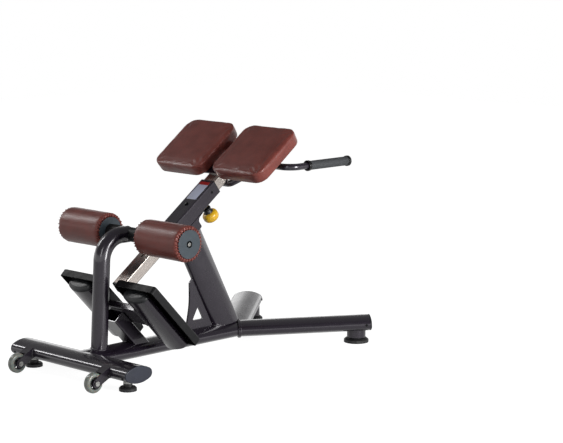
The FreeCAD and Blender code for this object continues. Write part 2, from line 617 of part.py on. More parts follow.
def column_pieces(parts, screws, beam_solid, leg_solid, joint_plate):
    """Column, its gusset, the sleeve on top, cheeks and bushings."""
    foot = PIVOT_Z / cos(lean)
    sleeve_solid = moved(bar(-SLEEVE_DOWN, SLEEVE_UP, SLEEVE_WIDE, SLEEVE_DEEP, SLIDE_CORNER),
                         SLIDE_AXIS)
    above_place = SLIDE_AXIS.multiply(FreeCAD.Placement(V(0, 0, 2.5 * SLEEVE_DEEP), FreeCAD.Rotation()))
    above = moved(bar(-SLEEVE_DOWN - SLEEVE_WIDE, SLEEVE_UP, 3 * SLEEVE_WIDE, 6 * SLEEVE_DEEP), above_place)
    column_solid = moved(oval(OVAL_DEEP, OVAL_WIDE, -foot, OVAL_WIDE), COLUMN_AXIS)
    column = moved(oval_tube(OVAL_DEEP, OVAL_WIDE, -foot, OVAL_WIDE), COLUMN_AXIS)
    column = biggest(column.cut([beam_solid, above, joint_plate, leg_solid, mirrored(leg_solid)]))

    top_z = BASE_AXIS_Z + OVAL_DEEP / 2

    def column_rear(z):
        return PIVOT_X + (PIVOT_Z - z) * tan(lean) - OVAL_WIDE / 2 / cos(lean)

    inner_foot = column_rear(BASE_AXIS_Z)
    corners = [(GUSSET_REAR_X, BASE_AXIS_Z), (GUSSET_WAIST_X, (GUSSET_TOP_Z + top_z) / 2),
               (GUSSET_WAIST_X, GUSSET_TOP_Z - GUSSET_NOSE), (GUSSET_WAIST_X + GUSSET_NOSE, GUSSET_TOP_Z),
               (column_rear(GUSSET_TOP_Z) + OVAL_DEEP, GUSSET_TOP_Z),
               (inner_foot + OVAL_DEEP, BASE_AXIS_Z)]
    gusset = outline(corners, (0, GUSSET_SWEEP, 6, 4, 0, 0), GUSSET_THICK)
    window_low = top_z + GUSSET_FRAME * 1.25
    window_high = (GUSSET_TOP_Z + top_z) / 2 - GUSSET_FRAME / 2
    slant = GUSSET_FRAME / cos(lean)
    apex_x = column_rear(window_high) - slant
    window = outline([(apex_x, window_high), (GUSSET_WAIST_X + GUSSET_FRAME * 0.45, window_low),
                      (column_rear(window_low) - slant, window_low)], (4, 4, 4), 2 * GUSSET_THICK)
    gusset = biggest(gusset.cut([column_solid, beam_solid, window]))

    sleeve = square_tube(-SLEEVE_DOWN, SLEEVE_UP, SLEEVE_WIDE, SLEEVE_DEEP, SLEEVE_WALL, SLIDE_CORNER)
    stop_hole = Part.makeCylinder(STOP_R + PLUG_GAP, 2 * SLEEVE_WALL,
                                  V(STOP_S, 0, SLEEVE_TOP - SLEEVE_WALL - 1))
    barrel_hole = Part.makeCylinder(BARREL_R, 2 * SLEEVE_WALL, V(PIN_S, 0, -SLEEVE_TOP - 1))
    side_screws = []
    for s in (SLEEVE_UP - BUSHING_LONG / 2, -SLEEVE_DOWN + BUSHING_LONG / 2):
        side_screws.append(V(s, -SLEEVE_WIDE / 2, 0))
    screw_holes = [cylinder(SMALL_SCREW_R, at - V(0, 1, 0), at + V(0, SLEEVE_WALL + 1.2, 0))
                   for at in side_screws]
    parts["sleeve"] = moved(cut(sleeve, stop_hole, barrel_hole, *screw_holes), SLIDE_AXIS)
    for at in side_screws:
        place = frame(at, V(1, 0, 0), V(0, -1, 0))
        one = screw(SMALL_SCREW_HEAD_R, SMALL_SCREW_HEAD, SMALL_SCREW_R, SLEEVE_WALL + 1, place)
        screws.append(moved(one, SLIDE_AXIS))

    outer_wide = SLEEVE_WIDE - 2 * SLEEVE_WALL - 2 * PLUG_GAP
    outer_deep = SLEEVE_DEEP - 2 * SLEEVE_WALL - 2 * PLUG_GAP
    bore_wide = SLIDE_WIDE + 2 * BUSHING_RUN
    bore_deep = SLIDE_DEEP + 2 * BUSHING_RUN
    bushings = []
    for start, end, lip_from in ((SLEEVE_UP - BUSHING_LONG, SLEEVE_UP, SLEEVE_UP),
                                 (-SLEEVE_DOWN, BUSHING_LONG - SLEEVE_DOWN, -SLEEVE_DOWN - BUSHING_LIP)):
        body = bar(start, end, outer_wide, outer_deep, SLIDE_CORNER - SLEEVE_WALL)
        lip = bar(lip_from, lip_from + BUSHING_LIP, SLEEVE_WIDE, SLEEVE_DEEP, SLIDE_CORNER)
        bore = bar(lip_from - SLEEVE_WIDE * 2, lip_from + SLEEVE_WIDE * 2, bore_wide, bore_deep,
                   SLIDE_CORNER)
        bushings.append(moved(cut(joined(body, lip), bore, *screw_holes), SLIDE_AXIS))
    parts["slide_bushings"] = Part.Compound(bushings)

    cheek_y = (SLEEVE_WIDE - CHEEK_THICK) / 2
    low = -SLEEVE_TOP - CHEEK_DROP
    cheek = outline([(-CHEEK_REAR, -SLEEVE_TOP), (CHEEK_FRONT, -SLEEVE_TOP),
                     (CHEEK_THROAT, -SLEEVE_TOP - CHEEK_DROP * 0.15), (CHEEK_THROAT, low),
                     (-CHEEK_REAR, low)], (0, 0, 16, 6, 10), CHEEK_THICK, cheek_y)
    cheek = cut(moved(cheek, SLIDE_AXIS), column_solid)
    parts["column"] = column
    parts["column_gusset"] = gusset
    parts["sleeve_cheeks"] = both(cheek)

    reach = SLEEVE_TOP - (SLIDE_TOP - SLIDE_WALL) + 1
    place = frame(V(STOP_S, 0, SLEEVE_TOP), V(1, 0, 0), V(0, 0, 1))
    parts["stop_screw"] = moved(screw(STOP_HEAD_R, STOP_HEAD, STOP_R, reach, place), SLIDE_AXIS)


def pin_pieces(parts):
    """Flanged barrel under the sleeve, spring-loaded pin, and its knob with a skirt."""
    def turned(radius, low, high, top_radius=None):
        """Round solid about the pin's axis between two heights above the slide's axis."""
        if top_radius is None:
            return Part.makeCylinder(radius, high - low, V(PIN_S, 0, low))
        return Part.makeCone(radius, top_radius, high - low, V(PIN_S, 0, low))

    under = -SLEEVE_TOP
    nose = -SLIDE_TOP - PIN_CLEAR
    inner_face = under + SLEEVE_WALL
    barrel_end = under - BARREL_LONG
    flange = turned(BARREL_FLANGE_R, barrel_end, barrel_end + BARREL_FLANGE)
    flange = flange.makeFillet(BARREL_FLANGE * 0.35, [e for e in flange.Edges if len(e.Vertexes) == 1])
    barrel = joined(turned(BARREL_R, barrel_end, inner_face), flange)
    bore = turned(PIN_R + PIN_RUN, barrel_end - 1, inner_face + 1)
    parts["plunger_barrel"] = moved(cut(barrel, bore), SLIDE_AXIS)

    skirt_top = barrel_end - KNOB_GAP
    knob_top = skirt_top - KNOB_SKIRT
    knob_end = knob_top - KNOB_LONG
    pin_tail = knob_top - PIN_IN_KNOB
    tip = turned(PIN_R, nose - 2, nose, PIN_R - 1.5)
    parts["plunger_pin"] = moved(joined(turned(PIN_R, pin_tail, nose - 2), tip), SLIDE_AXIS)
    socket = turned(PIN_R, pin_tail, skirt_top + 1)
    skirt = turned(KNOB_SKIRT_R, knob_top, skirt_top, KNOB_SKIRT_TOP_R)
    knob = turned(KNOB_R, knob_end, knob_top)
    knob = knob.makeFillet(KNOB_ROUND, [e for e in knob.Edges if len(e.Vertexes) == 1])
    parts["plunger_collar"] = moved(cut(skirt, socket), SLIDE_AXIS)
    parts["plunger_knob"] = moved(cut(knob, socket), SLIDE_AXIS)


# ---------------------------------------------------------------- pad carriage


def carriage_pieces(parts):
    """Slide, its end cap, brackets, boards, pads, bolts, handle bar and grips."""
    tube = square_tube(-SLIDE_TAIL, SLIDE_HEAD, SLIDE_WIDE, SLIDE_DEEP, SLIDE_WALL, SLIDE_CORNER)
    slot_half = STOP_R + STOP_GAP
    slot_low = STOP_S - TRAVEL
    slot_z = SLIDE_TOP - SLIDE_WALL - 1
    slot_deep = SLIDE_WALL + 2
    slot = joined(Part.makeBox(TRAVEL, 2 * slot_half, slot_deep, V(slot_low, -slot_half, slot_z)),
                  Part.makeCylinder(slot_half, slot_deep, V(slot_low, 0, slot_z)),
                  Part.makeCylinder(slot_half, slot_deep, V(STOP_S, 0, slot_z)))
    count = int(TRAVEL / HOLE_PITCH) + 1
    holes = [Part.makeCylinder(PIN_R + STOP_GAP, slot_deep, V(PIN_S - i * HOLE_PITCH, 0, -SLIDE_TOP - 1))
             for i in range(count)]
    parts["slide_tube"] = moved(cut(tube, slot, *holes), SLIDE_AXIS)

    lip = bar(-SLIDE_TAIL - CAP_LIP, -SLIDE_TAIL, SLIDE_WIDE, SLIDE_DEEP, SLIDE_CORNER)
    inside_wide = SLIDE_WIDE - 2 * SLIDE_WALL - 2 * PLUG_GAP
    inside_deep = SLIDE_DEEP - 2 * SLIDE_WALL - 2 * PLUG_GAP
    plug = bar(-SLIDE_TAIL, -SLIDE_TAIL + CAP_SPIGOT, inside_wide, inside_deep, SLIDE_CORNER - SLIDE_WALL)
    hollow = bar(-SLIDE_TAIL, -SLIDE_TAIL + CAP_SPIGOT + 1, inside_wide - 2 * CAP_WALL,
                 inside_deep - 2 * CAP_WALL)
    parts["slide_end_cap"] = moved(joined(lip, plug.cut(hollow)), SLIDE_AXIS)

    bracket_n = SLIDE_TOP + BRACKET_THICK / 2
    board_n = SLIDE_TOP + BRACKET_THICK
    bolt_ways = []
    bolts = []
    board_holes = []
    for s in BRACKET_S:
        for y in PAD_BOLT_Y:
            under = V(s, y, SLIDE_TOP)
            bolt_ways.append(cylinder(PAD_BOLT_R + BOLT_GAP, under - V(0, 0, 1), V(s, y, board_n + 1)))
            board_holes.append(cylinder(PAD_BOLT_R, V(s, y, board_n - 1), V(s, y, board_n + BOLT_BITE)))
            place = frame(under, V(1, 0, 0), V(0, 0, -1))
            length = BRACKET_THICK + BOLT_BITE
            bolts.append(screw(BOLT_HEAD_R, BOLT_HEAD, PAD_BOLT_R, length, place))
    brackets = []
    for s in BRACKET_S:
        strip = Part.makeBox(BRACKET_WIDE, 2 * BRACKET_HALF, BRACKET_THICK,
                             V(s - BRACKET_WIDE / 2, -BRACKET_HALF, bracket_n - BRACKET_THICK / 2))
        corners = [e for e in strip.Edges if abs(e.tangentAt(0).z) > 0.9]
        strip = strip.makeFillet(BRACKET_WIDE / 4, corners)
        brackets.append(cut(strip, *bolt_ways, *[mirrored(way) for way in bolt_ways]))
    parts["pad_bracket_lower"] = moved(brackets[0], SLIDE_AXIS)
    parts["pad_bracket_upper"] = moved(brackets[1], SLIDE_AXIS)
    parts["pad_bolts"] = moved(Part.Compound(bolts + [mirrored(bolt) for bolt in bolts]), SLIDE_AXIS)

    def pad_block(inset, low_n, high_n, corner, edge):
        block = Part.makeBox(PAD_LONG - 2 * inset, PAD_WIDE - 2 * inset, high_n - low_n,
                             V(PAD_LOW_S + inset, PAD_INNER_Y + inset, low_n))
        block = block.makeFillet(corner, [e for e in block.Edges if abs(e.tangentAt(0).z) > 0.9])
        if edge:
            block = block.makeFillet(edge, [e for e in block.Edges if e.CenterOfMass.z > high_n - 0.1])
        return block

    board = pad_block(BOARD_INSET, board_n, board_n + BOARD_THICK, PAD_CORNER - BOARD_INSET, 0)
    pad = pad_block(0, board_n + SOFT_GAP, board_n + PAD_THICK, PAD_CORNER, PAD_EDGE)
    recess = pad_block(BOARD_INSET - SOFT_GAP, board_n - 1, board_n + BOARD_THICK + SOFT_GAP,
                       PAD_CORNER - BOARD_INSET, 0)
    board = moved(cut(board, *board_holes), SLIDE_AXIS)
    pad = moved(cut(pad, recess), SLIDE_AXIS)
    parts["pad_boards"] = both(board)
    parts["pad_left"] = pad
    parts["pad_right"] = mirrored(pad)

    cross = on_slide(BAR_S, 0, BAR_N)
    half = [V(cross.x, BAR_CROSS_HALF, cross.z), V(BAR_SIDE_X, BAR_SIDE_Y, BAR_SIDE_Z),
            V(BAR_SIDE_X, GRIP_Y, BAR_SIDE_Z), V(GRIP_END_X - GRIP_END_WALL, GRIP_Y, BAR_SIDE_Z)]
    route = [V(p.x, -p.y, p.z) for p in reversed(half)] + half
    outer = bent_rod(route, BAR_BEND, BAR_R)
    inner = bent_rod(route, BAR_BEND, BAR_R - BAR_WALL)
    parts["handle_bar"] = cut(outer, inner)

    def grip_ring(radius, start, end):
        return cylinder(radius, V(start, GRIP_Y, BAR_SIDE_Z), V(end, GRIP_Y, BAR_SIDE_Z))

    sleeve = grip_ring(GRIP_R, GRIP_START_X, GRIP_END_X)
    collars = [grip_ring(GRIP_COLLAR_R, GRIP_START_X, GRIP_START_X + GRIP_COLLAR),
               grip_ring(GRIP_COLLAR_R, GRIP_END_X - GRIP_COLLAR, GRIP_END_X)]
    collars = [c.makeFillet(2.5, [e for e in c.Edges if len(e.Vertexes) == 1]) for c in collars]
    bore = grip_ring(BAR_R + GRIP_FIT, GRIP_START_X - 1, GRIP_END_X - GRIP_END_WALL + GRIP_FIT)
    grip = cut(joined(sleeve, *collars), bore)
    parts["grip_left"] = grip
    parts["grip_right"] = mirrored(grip)


# ---------------------------------------------------------------- rollers


def roller_pieces(parts, beam_solid, cross_solid):
    """Bent post, cross pipe, axle, two rollers on hubs and the bolts that keep them."""
    top_z = BASE_AXIS_Z + OVAL_DEEP / 2
    tilt = tan(radians(POST_LEAN))
    foot = V(POST_BASE_X - (top_z - BASE_AXIS_Z) * tilt, 0, BASE_AXIS_Z)
    knee = V(POST_BASE_X + (ROLLER_Z - top_z) * tilt, 0, ROLLER_Z)
    route = [foot, knee, V(ROLLER_X, 0, ROLLER_Z)]
    pipe_solid = cylinder(CROSS_PIPE_R, V(ROLLER_X, -CROSS_PIPE_HALF, ROLLER_Z),
                          V(ROLLER_X, CROSS_PIPE_HALF, ROLLER_Z))
    post = bent_rod(route, POST_BEND, POST_R).cut(bent_rod(route, POST_BEND, POST_R - POST_WALL))
    parts["roller_post"] = biggest(post.cut([pipe_solid, beam_solid, cross_solid]))

    def along(y):
        return V(ROLLER_X, y, ROLLER_Z)

    pipe = ring(CROSS_PIPE_R, CROSS_PIPE_R - CROSS_PIPE_WALL, along(-CROSS_PIPE_HALF),
                along(CROSS_PIPE_HALF))
    end_wall = ring(CROSS_PIPE_R - CROSS_PIPE_WALL / 2, AXLE_R, along(CROSS_PIPE_HALF - CROSS_PIPE_WALL),
                    along(CROSS_PIPE_HALF))
    parts["roller_cross_pipe"] = joined(pipe, end_wall, mirrored(end_wall))
    roller_end = ROLLER_IN_Y + ROLLER_LONG
    axle_end = roller_end - DISC_THICK
    axle = cylinder(AXLE_R, along(-axle_end), along(axle_end))
    bolt_room = cylinder(ROLLER_BOLT_R, along(axle_end - ROLLER_BOLT_DRILL), along(axle_end + 1))
    parts["roller_axle"] = cut(axle, bolt_room, mirrored(bolt_room))

    head_at = along(axle_end)
    washer = cylinder(WASHER_R, head_at, along(axle_end + WASHER_THICK))
    place = frame(along(axle_end + WASHER_THICK), V(1, 0, 0), V(0, 1, 0))
    bolt = screw(ROLLER_BOLT_HEAD_R, ROLLER_BOLT_HEAD, ROLLER_BOLT_R, ROLLER_BOLT_LONG, place)
    bolt = joined(washer, bolt)
    parts["roller_bolts"] = both(bolt)

    def disc(outer_y, sign):
        """End disc with a spigot inside the core, facing out along sign."""
        inner_y = outer_y - sign * DISC_THICK
        face = cylinder(DISC_R, along(outer_y), along(inner_y))
        face = face.makeFillet(1.5, [e for e in face.Edges
                                     if len(e.Vertexes) == 1 and abs(e.CenterOfMass.y - outer_y) < 0.1])
        spigot = cylinder(ROLLER_CORE_R - ROLLER_CORE_WALL - PLUG_GAP, along(inner_y),
                          along(inner_y - sign * DISC_SPIGOT))
        through = DISC_THICK + DISC_SPIGOT + 1
        bore = cylinder(AXLE_R + AXLE_RUN, along(outer_y + sign), along(outer_y - sign * through))
        return joined(face, spigot).cut(bore)

    in_y = ROLLER_IN_Y
    outer_disc = disc(roller_end, 1)
    well = cylinder(DISC_HOLE_R, along(axle_end - END_PLAY), along(roller_end + 1))
    outer_disc = cut(outer_disc, well)
    inner_disc = cut(disc(in_y, -1))
    core = ring(ROLLER_CORE_R, ROLLER_CORE_R - ROLLER_CORE_WALL, along(in_y + DISC_THICK),
                along(roller_end - DISC_THICK))
    pad = cylinder(ROLLER_R, along(in_y + DISC_PROUD), along(roller_end - DISC_PROUD))
    pad = pad.makeFillet(ROLLER_EDGE, [e for e in pad.Edges if len(e.Vertexes) == 1])
    seat = cylinder(DISC_R + SOFT_GAP, along(in_y), along(in_y + DISC_THICK + SOFT_GAP))
    far_seat = cylinder(DISC_R + SOFT_GAP, along(roller_end), along(roller_end - DISC_THICK - SOFT_GAP))
    bore = cylinder(ROLLER_CORE_R + SOFT_GAP, along(in_y), along(roller_end))
    pad = cut(pad, seat, far_seat, bore)
    hub = Part.Compound([core, outer_disc, inner_disc])
    parts["roller_hub_left"] = hub
    parts["roller_hub_right"] = mirrored(hub)
    parts["roller_pad_left"] = pad
    parts["roller_pad_right"] = mirrored(pad)


# ---------------------------------------------------------------- foot plates


def plate_pieces(parts, beam_solid):
    """Tray plates with rubber mats on oval supports, crossbar and prop."""
    def tray_block(inset, low, high):
        block = Part.makeBox(PLATE_LONG - 2 * inset, PLATE_WIDE - 2 * inset, high - low,
                             V(inset, PLATE_INNER_Y + inset, low))
        corner = max(PLATE_CORNER - inset, 2)
        return block.makeFillet(corner, [e for e in block.Edges if abs(e.tangentAt(0).z) > 0.9])

    ends_u = (PLATE_SCREW_EDGE, PLATE_LONG - PLATE_SCREW_EDGE)
    sides_y = (PLATE_INNER_Y + PLATE_SCREW_EDGE, PLATE_INNER_Y + PLATE_WIDE - PLATE_SCREW_EDGE)
    screw_points = [V(u, y, -PLATE_SHEET) for u in ends_u for y in sides_y]
    up = V(0, 0, 1)
    bite = PLATE_SHEET + MAT_THICK * 0.6
    ways = [cylinder(PLATE_SCREW_R + PLUG_GAP, p - up, p + up * (PLATE_SHEET + 1)) for p in screw_points]
    mat_ways = [cylinder(PLATE_SCREW_R, p, p + up * bite) for p in screw_points]
    tray = cut(tray_block(0, -PLATE_RIM, 0), tray_block(PLATE_SHEET, -PLATE_RIM - 1, -PLATE_SHEET), *ways)
    mat = tray_block(MAT_INSET, 0, MAT_THICK)
    pitch = (PLATE_LONG - 2 * MAT_INSET) / MAT_RIB_COUNT
    ribs = []
    for i in range(MAT_RIB_COUNT):
        middle = MAT_INSET + pitch * (i + 0.5)
        ribs.append(Part.makeBox(pitch / 2, PLATE_WIDE - 4 * MAT_INSET, MAT_RIB,
                                 V(middle - pitch / 4, PLATE_INNER_Y + 2 * MAT_INSET, MAT_THICK)))
    mat = cut(joined(mat, *ribs), *mat_ways)
    screws = []
    for point in screw_points:
        place = frame(point, V(1, 0, 0), V(0, 0, -1))
        screws.append(screw(PLATE_SCREW_HEAD_R, PLATE_SCREW_HEAD, PLATE_SCREW_R, bite, place))
    plate_screws = moved(Part.Compound(screws), PLATE_AXIS)

    support_w = -PLATE_SHEET - OVAL_DEEP / 2
    seat = FreeCAD.Placement(V(0, PLATE_MID_Y, support_w), FreeCAD.Rotation())
    place = PLATE_AXIS.multiply(seat)
    support = moved(oval_tube(OVAL_WIDE, OVAL_DEEP, SUPPORT_START, SUPPORT_END), place)
    support_solid = moved(oval(OVAL_WIDE, OVAL_DEEP, SUPPORT_START, SUPPORT_END), place)
    dome = oval(OVAL_WIDE, OVAL_DEEP, SUPPORT_START - SUPPORT_DOME, SUPPORT_START)
    crown = [e for e in dome.Edges if e.CenterOfMass.x < SUPPORT_START - SUPPORT_DOME + 0.1]
    dome = dome.makeFillet(min(SUPPORT_DOME, OVAL_NOSE) * 0.9, crown)
    wide = OVAL_WIDE - 2 * OVAL_WALL - 2 * PLUG_GAP
    deep = OVAL_DEEP - 2 * OVAL_WALL - 2 * PLUG_GAP
    plug = oval(wide, deep, SUPPORT_START, SUPPORT_START + CAP_SPIGOT)
    hollow = oval(wide - 2 * CAP_WALL, deep - 2 * CAP_WALL, SUPPORT_START, SUPPORT_START + CAP_SPIGOT + 1)
    cap = moved(joined(dome, plug.cut(hollow)), place)

    crossbar_w = -PLATE_RIM - CROSSBAR_GAP - CROSSBAR_DEEP / 2
    crossbar_place = PLATE_AXIS.multiply(frame(V(CROSSBAR_U, 0, crossbar_w), V(0, 1, 0), V(0, 0, 1)))
    crossbar = moved(square_tube(-PLATE_MID_Y, PLATE_MID_Y, CROSSBAR_LONG, CROSSBAR_DEEP, OVAL_WALL,
                                 PROP_CORNER), crossbar_place)
    crossbar = biggest(crossbar.cut([support_solid, mirrored(support_solid)]))
    prop_w = crossbar_w - CROSSBAR_DEEP / 2 - PROP_DEEP / 2
    prop_end = (PLATE_TOP_Z + prop_w * cos(fall)) / sin(fall)
    prop_place = PLATE_AXIS.multiply(FreeCAD.Placement(V(0, 0, prop_w), FreeCAD.Rotation()))
    prop = square_tube(PROP_START, prop_end, PROP_WIDE, PROP_DEEP, PROP_WALL, PROP_CORNER)
    parts["foot_plate_prop"] = biggest(moved(prop, prop_place).cut(beam_solid))
    parts["foot_plate_crossbar"] = crossbar
    parts["plate_screws"] = both(plate_screws)
    for side, turn in (("left", lambda shape: shape), ("right", mirrored)):
        parts["plate_support_" + side] = turn(support)
        parts["foot_plate_" + side] = turn(moved(tray, PLATE_AXIS))
        parts["foot_mat_" + side] = turn(moved(mat, PLATE_AXIS))
    parts["support_caps"] = both(cap)


# ---------------------------------------------------------------- transport wheels


def wheel_pieces(parts, cross_solid):
    """Forks on the back of the cross tube, each with a spoked wheel on a bolt."""
    half = WHEEL_WIDE / 2
    arm_y = half + FORK_SIDE_GAP + FORK_THICK / 2
    hub_x, hub_z = WHEEL_X, WHEEL_Z
    root_x = -OVAL_WIDE / 2
    angle = atan2(BASE_AXIS_Z - hub_z, root_x - hub_x)
    side = V(-sin(angle), 0, cos(angle))
    along = V(cos(angle), 0, sin(angle))
    hub = V(hub_x, 0, hub_z)
    end = FORK_END_R
    root = hypot(root_x - hub_x, BASE_AXIS_Z - hub_z) + FORK_SINK
    points = [hub + along * root + side * (FORK_ROOT_HIGH / 2), hub - along * end + side * end,
              hub - along * end - side * end, hub + along * root - side * (FORK_ROOT_HIGH / 2)]
    arm = outline([(p.x, p.z) for p in points], (0, end * 0.98, end * 0.98, 0), FORK_THICK, arm_y)
    reach = arm_y + FORK_THICK
    hole = cylinder(HUB_BORE_R + WHEEL_RUN, V(hub_x, -reach, hub_z), V(hub_x, reach, hub_z))
    web_start = WHEEL_R + WEB_GAP
    web_half = FORK_ROOT_HIGH / 2 - WEB_INSET
    web_points = [hub + along * web_start + side * web_half, hub + along * web_start - side * web_half,
                  hub + along * root - side * web_half, hub + along * root + side * web_half]
    web = outline([(p.x, p.z) for p in web_points], (0, 0, 0, 0), 2 * arm_y)
    fork = joined(arm, mirrored(arm), web)
    fork.translate(V(0, WHEEL_Y, 0))
    hole.translate(V(0, WHEEL_Y, 0))
    fork = biggest(fork.cut([cross_solid, hole]))

    def across(y):
        return V(hub_x, WHEEL_Y + y, hub_z)

    tyre = ring(WHEEL_R, TYRE_INNER_R, across(-half), across(half))
    rims = [e for e in tyre.Edges if len(e.Vertexes) == 1 and e.BoundBox.ZLength > WHEEL_R + TYRE_INNER_R]
    tyre = tyre.makeFillet(TYRE_EDGE, rims)
    boss = cylinder(HUB_BOSS_R, across(-half - HUB_BOSS_OUT), across(half + HUB_BOSS_OUT))
    rim = ring(TYRE_INNER_R, TYRE_INNER_R - HUB_RIM, across(-half + WEB_INSET), across(half - WEB_INSET))
    spoke_wide = WHEEL_WIDE - 2 * HUB_RECESS
    spokes = []
    for i in range(HUB_SPOKES):
        spoke = Part.makeBox(TYRE_INNER_R - HUB_RIM / 2, spoke_wide, HUB_SPOKE,
                             V(0, WHEEL_Y - spoke_wide / 2, -HUB_SPOKE / 2))
        spoke.rotate(V(0, 0, 0), V(0, 1, 0), 360.0 * i / HUB_SPOKES)
        spoke.translate(V(hub_x, 0, hub_z))
        spokes.append(spoke)
    hub_piece = cut(joined(boss, rim, *spokes), hole)
    bolt_end = arm_y + FORK_THICK / 2
    head_end = bolt_end + WHEEL_BOLT_HEAD
    shank = cylinder(HUB_BORE_R, across(-head_end - 2), across(bolt_end))
    head = hexagon(2 * WHEEL_BOLT_HEAD_R, across(bolt_end), across(head_end), 0)
    nut = hexagon(2 * WHEEL_BOLT_HEAD_R, across(-head_end), across(-bolt_end), HUB_BORE_R)
    parts["wheel_bolts"] = Part.Compound([both(joined(shank, head)), both(nut)])
    for name, turn in (("left", lambda shape: shape), ("right", mirrored)):
        parts["wheel_fork_" + name] = turn(fork)
        parts["wheel_tyre_" + name] = turn(tyre)
        parts["wheel_hub_" + name] = turn(hub_piece)


# ---------------------------------------------------------------- assembly


def main():
    """Build every piece, centre the assembly on the floor and write the STEP files."""
    parts = {}
    screws = []
    cross_solid, beam_solid, leg_solid, joint_plate = base_pieces(parts, screws)
    column_pieces(parts, screws, beam_solid, leg_solid, joint_plate)
    pin_pieces(parts)
    carriage_pieces(parts)
    roller_pieces(parts, beam_solid, cross_solid)
    plate_pieces(parts, beam_solid)
    wheel_pieces(parts, cross_solid)
    base_screws = [both(one) for one in screws[:3]]
    parts["retaining_screws"] = Part.Compound(base_screws + screws[3:])

    box = FreeCAD.BoundBox()
    for shape in parts.values():
        box.add(shape.optimalBoundingBox(False))
    middle = (box.XMin + box.XMax) / 2
    os.makedirs("parts", exist_ok=True)
    for name, shape in parts.items():
        shape.translate(V(-middle, 0, 0))
        shape.exportStep(os.path.join("parts", name + ".step"))
        if not shape.isValid():
            print("invalid shape", name)
    print(len(parts), "nodes, origin is", round(middle, 3), "mm ahead of the cross tube")
    print("box", [round(v, 2) for v in (box.XMin, box.XMax, box.YMin, box.YMax, box.ZMin, box.ZMax)])


main()
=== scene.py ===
"""Finishes a roman chair, the 45 degree back-extension bench of a gym.

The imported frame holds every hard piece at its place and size.  This add-on gives those
pieces their finishes, and makes the upholstery, the grips, the weld beads and the decal
that ride on them.  Lengths are in metres unless a name ends in mm.
"""
import json
from math import ceil, cos, exp, floor, hypot, pi, radians, sin

import bmesh
import bpy
import numpy as np
from mathutils import Matrix, Vector, noise
from mathutils.bvhtree import BVHTree


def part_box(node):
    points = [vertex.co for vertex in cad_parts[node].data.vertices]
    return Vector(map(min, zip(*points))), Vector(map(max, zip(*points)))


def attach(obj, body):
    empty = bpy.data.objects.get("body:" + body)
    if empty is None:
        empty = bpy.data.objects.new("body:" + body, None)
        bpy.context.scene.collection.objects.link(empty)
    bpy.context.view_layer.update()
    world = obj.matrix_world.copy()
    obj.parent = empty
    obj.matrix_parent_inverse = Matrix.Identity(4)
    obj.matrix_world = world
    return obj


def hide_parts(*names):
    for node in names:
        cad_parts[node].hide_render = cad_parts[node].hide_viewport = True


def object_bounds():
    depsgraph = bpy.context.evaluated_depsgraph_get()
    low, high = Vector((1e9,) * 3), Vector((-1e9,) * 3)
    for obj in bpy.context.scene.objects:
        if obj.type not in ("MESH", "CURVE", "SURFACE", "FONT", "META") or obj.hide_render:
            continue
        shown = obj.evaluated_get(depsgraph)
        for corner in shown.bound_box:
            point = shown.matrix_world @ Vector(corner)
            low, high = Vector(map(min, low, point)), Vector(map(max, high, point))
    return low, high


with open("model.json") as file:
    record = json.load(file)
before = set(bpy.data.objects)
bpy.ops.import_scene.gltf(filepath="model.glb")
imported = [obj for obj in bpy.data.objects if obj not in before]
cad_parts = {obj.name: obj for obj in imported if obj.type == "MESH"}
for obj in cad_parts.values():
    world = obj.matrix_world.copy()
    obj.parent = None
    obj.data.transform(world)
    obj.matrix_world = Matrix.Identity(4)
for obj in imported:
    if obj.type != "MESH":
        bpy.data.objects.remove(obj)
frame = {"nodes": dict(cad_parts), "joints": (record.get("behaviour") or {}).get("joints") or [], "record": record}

bl_info = {
    "name": "Roman chair finisher",
    "version": (1, 0, 0),
    "blender": (4, 5, 0),
    "location": "View3D > Sidebar > Roman chair",
    "description": "Finishes, upholsters and stages a roman chair on its packed frame",
    "category": "Object",
}

NODES = frame["nodes"]
CAD_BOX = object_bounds()
MM = 0.001

# the slide's own directions: along it towards its head, across it, and square to its top
ALONG = Vector(next(j for j in frame["joints"] if j["name"] == "pad_slide")["axis"])
ACROSS = Vector((0, 1, 0))
PROUD = ALONG.cross(ACROSS)
SIDES = ("left", "right")


def linear(code):
    """Linear RGB of an sRGB hex colour."""
    channels = (int(code[i:i + 2], 16) / 255 for i in (0, 2, 4))
    return tuple(c / 12.92 if c <= 0.04045 else ((c + 0.055) / 1.055) ** 2.4 for c in channels)


# ---------------------------------------------------------------- settings


def colour(name, code, description):
    """A colour setting."""
    return bpy.props.FloatVectorProperty(
        name=name, description=description, subtype="COLOR", size=3, min=0, max=1, default=linear(code))


def size(name, millimetres, description):
    """A length setting, kept in metres."""
    return bpy.props.FloatProperty(
        name=name, description=description, unit="LENGTH", min=0, default=millimetres * MM)


def power(name, watts, description):
    """A lamp's power setting."""
    return bpy.props.FloatProperty(name=name, description=description, subtype="POWER", min=0, default=watts)


